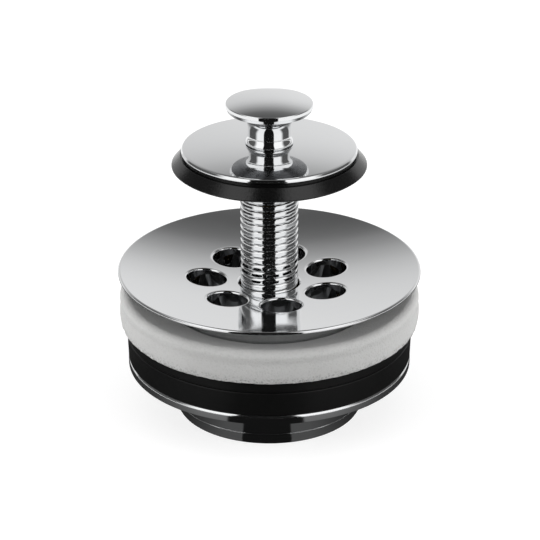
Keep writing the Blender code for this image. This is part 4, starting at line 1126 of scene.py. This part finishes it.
class OBJECT_OT_drain_stage(bpy.types.Operator):
    """Build the floor, the cards, the lamps, the camera and the white surroundings"""

    bl_idname = "object.drain_stage"
    bl_label = "Stage"

    def execute(self, context):
        scene, studio = context.scene, context.scene.drain_studio
        self.floor(studio)
        self.table_card(studio)
        self.surroundings(scene, studio)
        for side, x in (("left", -1.3), ("right", 1.3)):
            self.lamp("soft lamp on the " + side, (x, -0.45, 0.45), 1.0, studio.key_light)
        self.camera(scene, studio)
        scene.view_settings.view_transform = "Standard"
        return {"FINISHED"}

    def floor(self, studio):
        """Pale floor: it takes the valve's shadow, and glows up to white for camera and mirrors."""
        floor = plain_square("pale_floor", 4.0, NUT_BOTTOM)
        material = bpy.data.materials.new("pale paper floor")
        tree = empty_tree(material)
        path = add_node(tree, "LightPath").outputs
        seen = add_node(tree, "Math", {
            0: path["Is Camera Ray"], 1: path["Is Glossy Ray"]}, operation="ADD")
        seen = add_node(tree, "Math", {0: seen, 1: path["Is Transmission Ray"]}, operation="ADD")
        glow = add_node(tree, "Math", {0: seen, 1: studio.floor_glow}, operation="MULTIPLY")
        paper = add_node(tree, "BsdfDiffuse", {"Color": studio.floor_tone})
        light = add_node(tree, "Emission", {"Strength": glow})
        both = add_node(tree, "AddShader", {0: paper, 1: light})
        add_node(tree, "OutputMaterial", {"Surface": both})
        floor.data.materials.append(material)

    def table_card(self, studio):
        """Cards on the table, which only mirrors see.

        Dark grey under the valve, then a ring that is white in front and dark at the sides,
        white paper beyond it, and a black wedge on the camera's side through all of them.
        """
        card = plain_square("dark_table_card", 2.0, NUT_BOTTOM + 0.05 * MM)
        material, tree, place = start_finish("dark studio card")
        axes = add_node(tree, "SeparateXYZ", {0: place}).outputs
        apex = add_node(tree, "Math", {0: axes["Y"], 1: WEDGE_APEX}, operation="ADD")
        turn = turn_from_camera(tree, axes["X"], apex)
        sides = turn_from_camera(tree, axes["X"], apex, SIDE_TILT)
        reach_out = add_node(tree, "VectorMath", {0: place}, operation="LENGTH").outputs["Value"]
        grey = add_node(tree, "MapRange", {
            "Value": reach_out, "From Min": CARD_FADE[0], "From Max": CARD_FADE[1],
            "To Min": studio.table_card, "To Max": CARD_RISE * studio.table_card})
        dim = add_node(tree, "MapRange", {
            "Value": turn, "From Min": math.radians(45), "From Max": math.radians(85),
            "To Min": 1.0, "To Max": 0.35})
        grey = add_node(tree, "Math", {0: grey, 1: dim}, operation="MULTIPLY")
        # The ring's tones in front, at the sides and behind are 1, 0.05 and 0.3.
        ring = add_node(tree, "Mix", {0: turn_step(tree, sides, *RING_SIDE), 2: 1.0, 3: 0.05})
        ring = add_node(tree, "Mix", {0: turn_step(tree, turn, *RING_BACK), 2: ring, 3: 0.3})
        tone = add_node(tree, "Mix", {0: soft_step(tree, reach_out, *RING_START), 2: grey, 3: ring})
        tone = add_node(tree, "Mix", {0: soft_step(tree, reach_out, *PAPER_START), 2: tone, 3: 1.0})
        tone = add_node(tree, "Mix", {
            0: turn_step(tree, turn, *BLACK_WEDGE), 2: studio.black, 3: tone})
        light = add_node(tree, "Emission", {"Strength": tone})
        add_node(tree, "OutputMaterial", {"Surface": light})
        card.data.materials.append(material)
        for kind in ("camera", "diffuse", "transmission", "volume_scatter", "shadow"):
            setattr(card, "visible_" + kind, False)

    def surroundings(self, scene, studio):
        """White all round, with a set that only mirrors see.

        It is black behind the camera. Beside that stand light boxes, dark below 5 degrees and
        above 70, then dark flags in front of them, and behind the valve a graded screen.
        """
        world = bpy.data.worlds.new("white studio")
        scene.world = world
        tree = empty_tree(world)
        toward = add_node(tree, "TexCoord").outputs["Generated"]
        axes = add_node(tree, "SeparateXYZ", {0: toward}).outputs
        height = add_node(tree, "Math", {0: axes["Z"]}, operation="ARCSINE")
        turn = turn_from_camera(tree, axes["X"], axes["Y"])
        sides = turn_from_camera(tree, axes["X"], axes["Y"], SIDE_TILT)
        flag = add_node(tree, "Math", {
            0: turn_step(tree, height, *FLAG_FOOT), 1: turn_step(tree, height, *FLAG_HEAD)},
            operation="SUBTRACT")
        flag = add_node(tree, "Math", {
            0: turn_step(tree, sides, *SIDE_FLAGS), 1: flag}, operation="MULTIPLY")
        dark = add_node(tree, "Math", {
            0: flag, 1: turn_step(tree, height, *BOX_HEAD)}, operation="MAXIMUM")
        low = add_node(tree, "Math", {
            0: 1.0, 1: turn_step(tree, height, *BOX_FOOT)}, operation="SUBTRACT")
        dark = add_node(tree, "Math", {0: dark, 1: low}, operation="MAXIMUM")
        front = add_node(tree, "Mix", {0: dark, 2: studio.boxes, 3: studio.overhead})
        share_up = add_node(tree, "Math", {0: height, 1: math.pi / 2}, operation="DIVIDE")
        screen = add_node(tree, "FloatCurve", {"Value": share_up})
        curve = screen.mapping.curves[0]
        curve.points[0].location = 0.0, studio.backdrop
        curve.points[1].location = 1.0, SCREEN_TOP
        for degrees, tone in SCREEN_TONES:
            curve.points.new(degrees / 90, tone)
        screen.mapping.update()
        # The screen's least tone falls from 0.32 at its sides to 0.08 in its middle, and the
        # whole screen is a little darker on the left.
        least = add_node(tree, "MapRange", {
            "Value": turn, "From Min": math.radians(145), "From Max": math.radians(175),
            "To Min": 0.32, "To Max": 0.08}, interpolation_type="SMOOTHSTEP")
        screen = add_node(tree, "Math", {0: screen, 1: least}, operation="MAXIMUM")
        fade = add_node(tree, "MapRange", {
            "Value": axes["X"], "From Min": -0.13, "From Max": 0.12, "To Min": 0.87})
        screen = add_node(tree, "Math", {0: screen, 1: fade}, operation="MULTIPLY")
        room = add_node(tree, "Mix", {0: turn_step(tree, turn, *SCREEN_EDGE), 2: front, 3: screen})
        mirrored = add_node(tree, "Mix", {
            0: turn_step(tree, turn, *BLACK_CARD), 2: studio.black, 3: room})
        path = add_node(tree, "LightPath").outputs
        seen = add_node(tree, "Math", {
            0: path["Is Camera Ray"], 1: path["Is Transmission Ray"]}, operation="ADD")
        plain = add_node(tree, "Mix", {0: seen, 2: studio.sky, 3: 1.0})
        strength = add_node(tree, "Mix", {0: path["Is Glossy Ray"], 2: plain, 3: mirrored})
        light = add_node(tree, "Background", {
            "Color": (1.0, 1.0, 1.0, 1.0), "Strength": strength})
        add_node(tree, "OutputWorld", {"Surface": light})

    def lamp(self, name, place, size, power):
        """Large square lamp that faces the valve, and that mirrors don't see."""
        data = bpy.data.lights.new(name, "AREA")
        data.size, data.energy = size, power
        lamp = bpy.data.objects.new(name, data)
        bpy.context.scene.collection.objects.link(lamp)
        lamp.location = place
        lamp.rotation_euler = (-Vector(place)).to_track_quat("-Z", "Y").to_euler()
        lamp.visible_glossy = False

    def camera(self, scene, studio):
        """Camera on the -Y side, at the studio's elevation, distance and focal length."""
        data = bpy.data.cameras.new("studio camera")
        camera = bpy.data.objects.new("studio camera", data)
        scene.collection.objects.link(camera)
        aim = Vector((0.0, 0.0, studio.aim_height))
        away = Vector((0.0, -math.cos(studio.elevation), math.sin(studio.elevation)))
        camera.location = aim + studio.distance * away
        camera.rotation_euler = (-away).to_track_quat("-Z", "Y").to_euler()
        data.lens, data.sensor_width = studio.lens, 36.0
        data.clip_start, data.clip_end = 0.01, 50.0
        data.shift_x, data.shift_y = 0.0013, -0.0031  # puts the valve where the photograph has it
        scene.camera = camera


OPERATORS = (
    OBJECT_OT_drain_strainer,
    OBJECT_OT_drain_bush,
    OBJECT_OT_drain_stem,
    OBJECT_OT_drain_clips,
    OBJECT_OT_drain_plate,
    OBJECT_OT_drain_seal,
    OBJECT_OT_drain_carrier,
    OBJECT_OT_drain_o_rings,
    OBJECT_OT_drain_stud,
    OBJECT_OT_drain_knob,
    OBJECT_OT_drain_foam,
    OBJECT_OT_drain_rubber,
    OBJECT_OT_drain_friction_ring,
    OBJECT_OT_drain_nut,
    OBJECT_OT_drain_stage,
)


class VIEW3D_PT_drain_valve(bpy.types.Panel):
    """Sizes, colours and builders of the drain valve"""

    bl_idname = "VIEW3D_PT_drain_valve"
    bl_label = "Drain valve"
    bl_space_type = "VIEW_3D"
    bl_region_type = "UI"
    bl_category = "Drain valve"

    def draw(self, context):
        for attribute, group in GROUPS.items():
            box = self.layout.box()
            box.label(text=group.__doc__)
            for name in group.__annotations__:
                box.prop(getattr(context.scene, attribute), name)
        for operator in OPERATORS:
            self.layout.operator(operator.bl_idname)


def register():
    for group in GROUPS.values():
        bpy.utils.register_class(group)
    for attribute, group in GROUPS.items():
        setattr(bpy.types.Scene, attribute, bpy.props.PointerProperty(type=group))
    for operator in OPERATORS:
        bpy.utils.register_class(operator)
    bpy.utils.register_class(VIEW3D_PT_drain_valve)


def unregister():
    bpy.utils.unregister_class(VIEW3D_PT_drain_valve)
    for operator in reversed(OPERATORS):
        bpy.utils.unregister_class(operator)
    for attribute, group in reversed(GROUPS.items()):
        delattr(bpy.types.Scene, attribute)
        bpy.utils.unregister_class(group)


def main():
    """Registers the add-on, and builds every piece and the stage."""
    register()
    for operator in OPERATORS:
        category, name = operator.bl_idname.split(".")
        getattr(getattr(bpy.ops, category), name)()


if __name__ == "__main__":
    main()
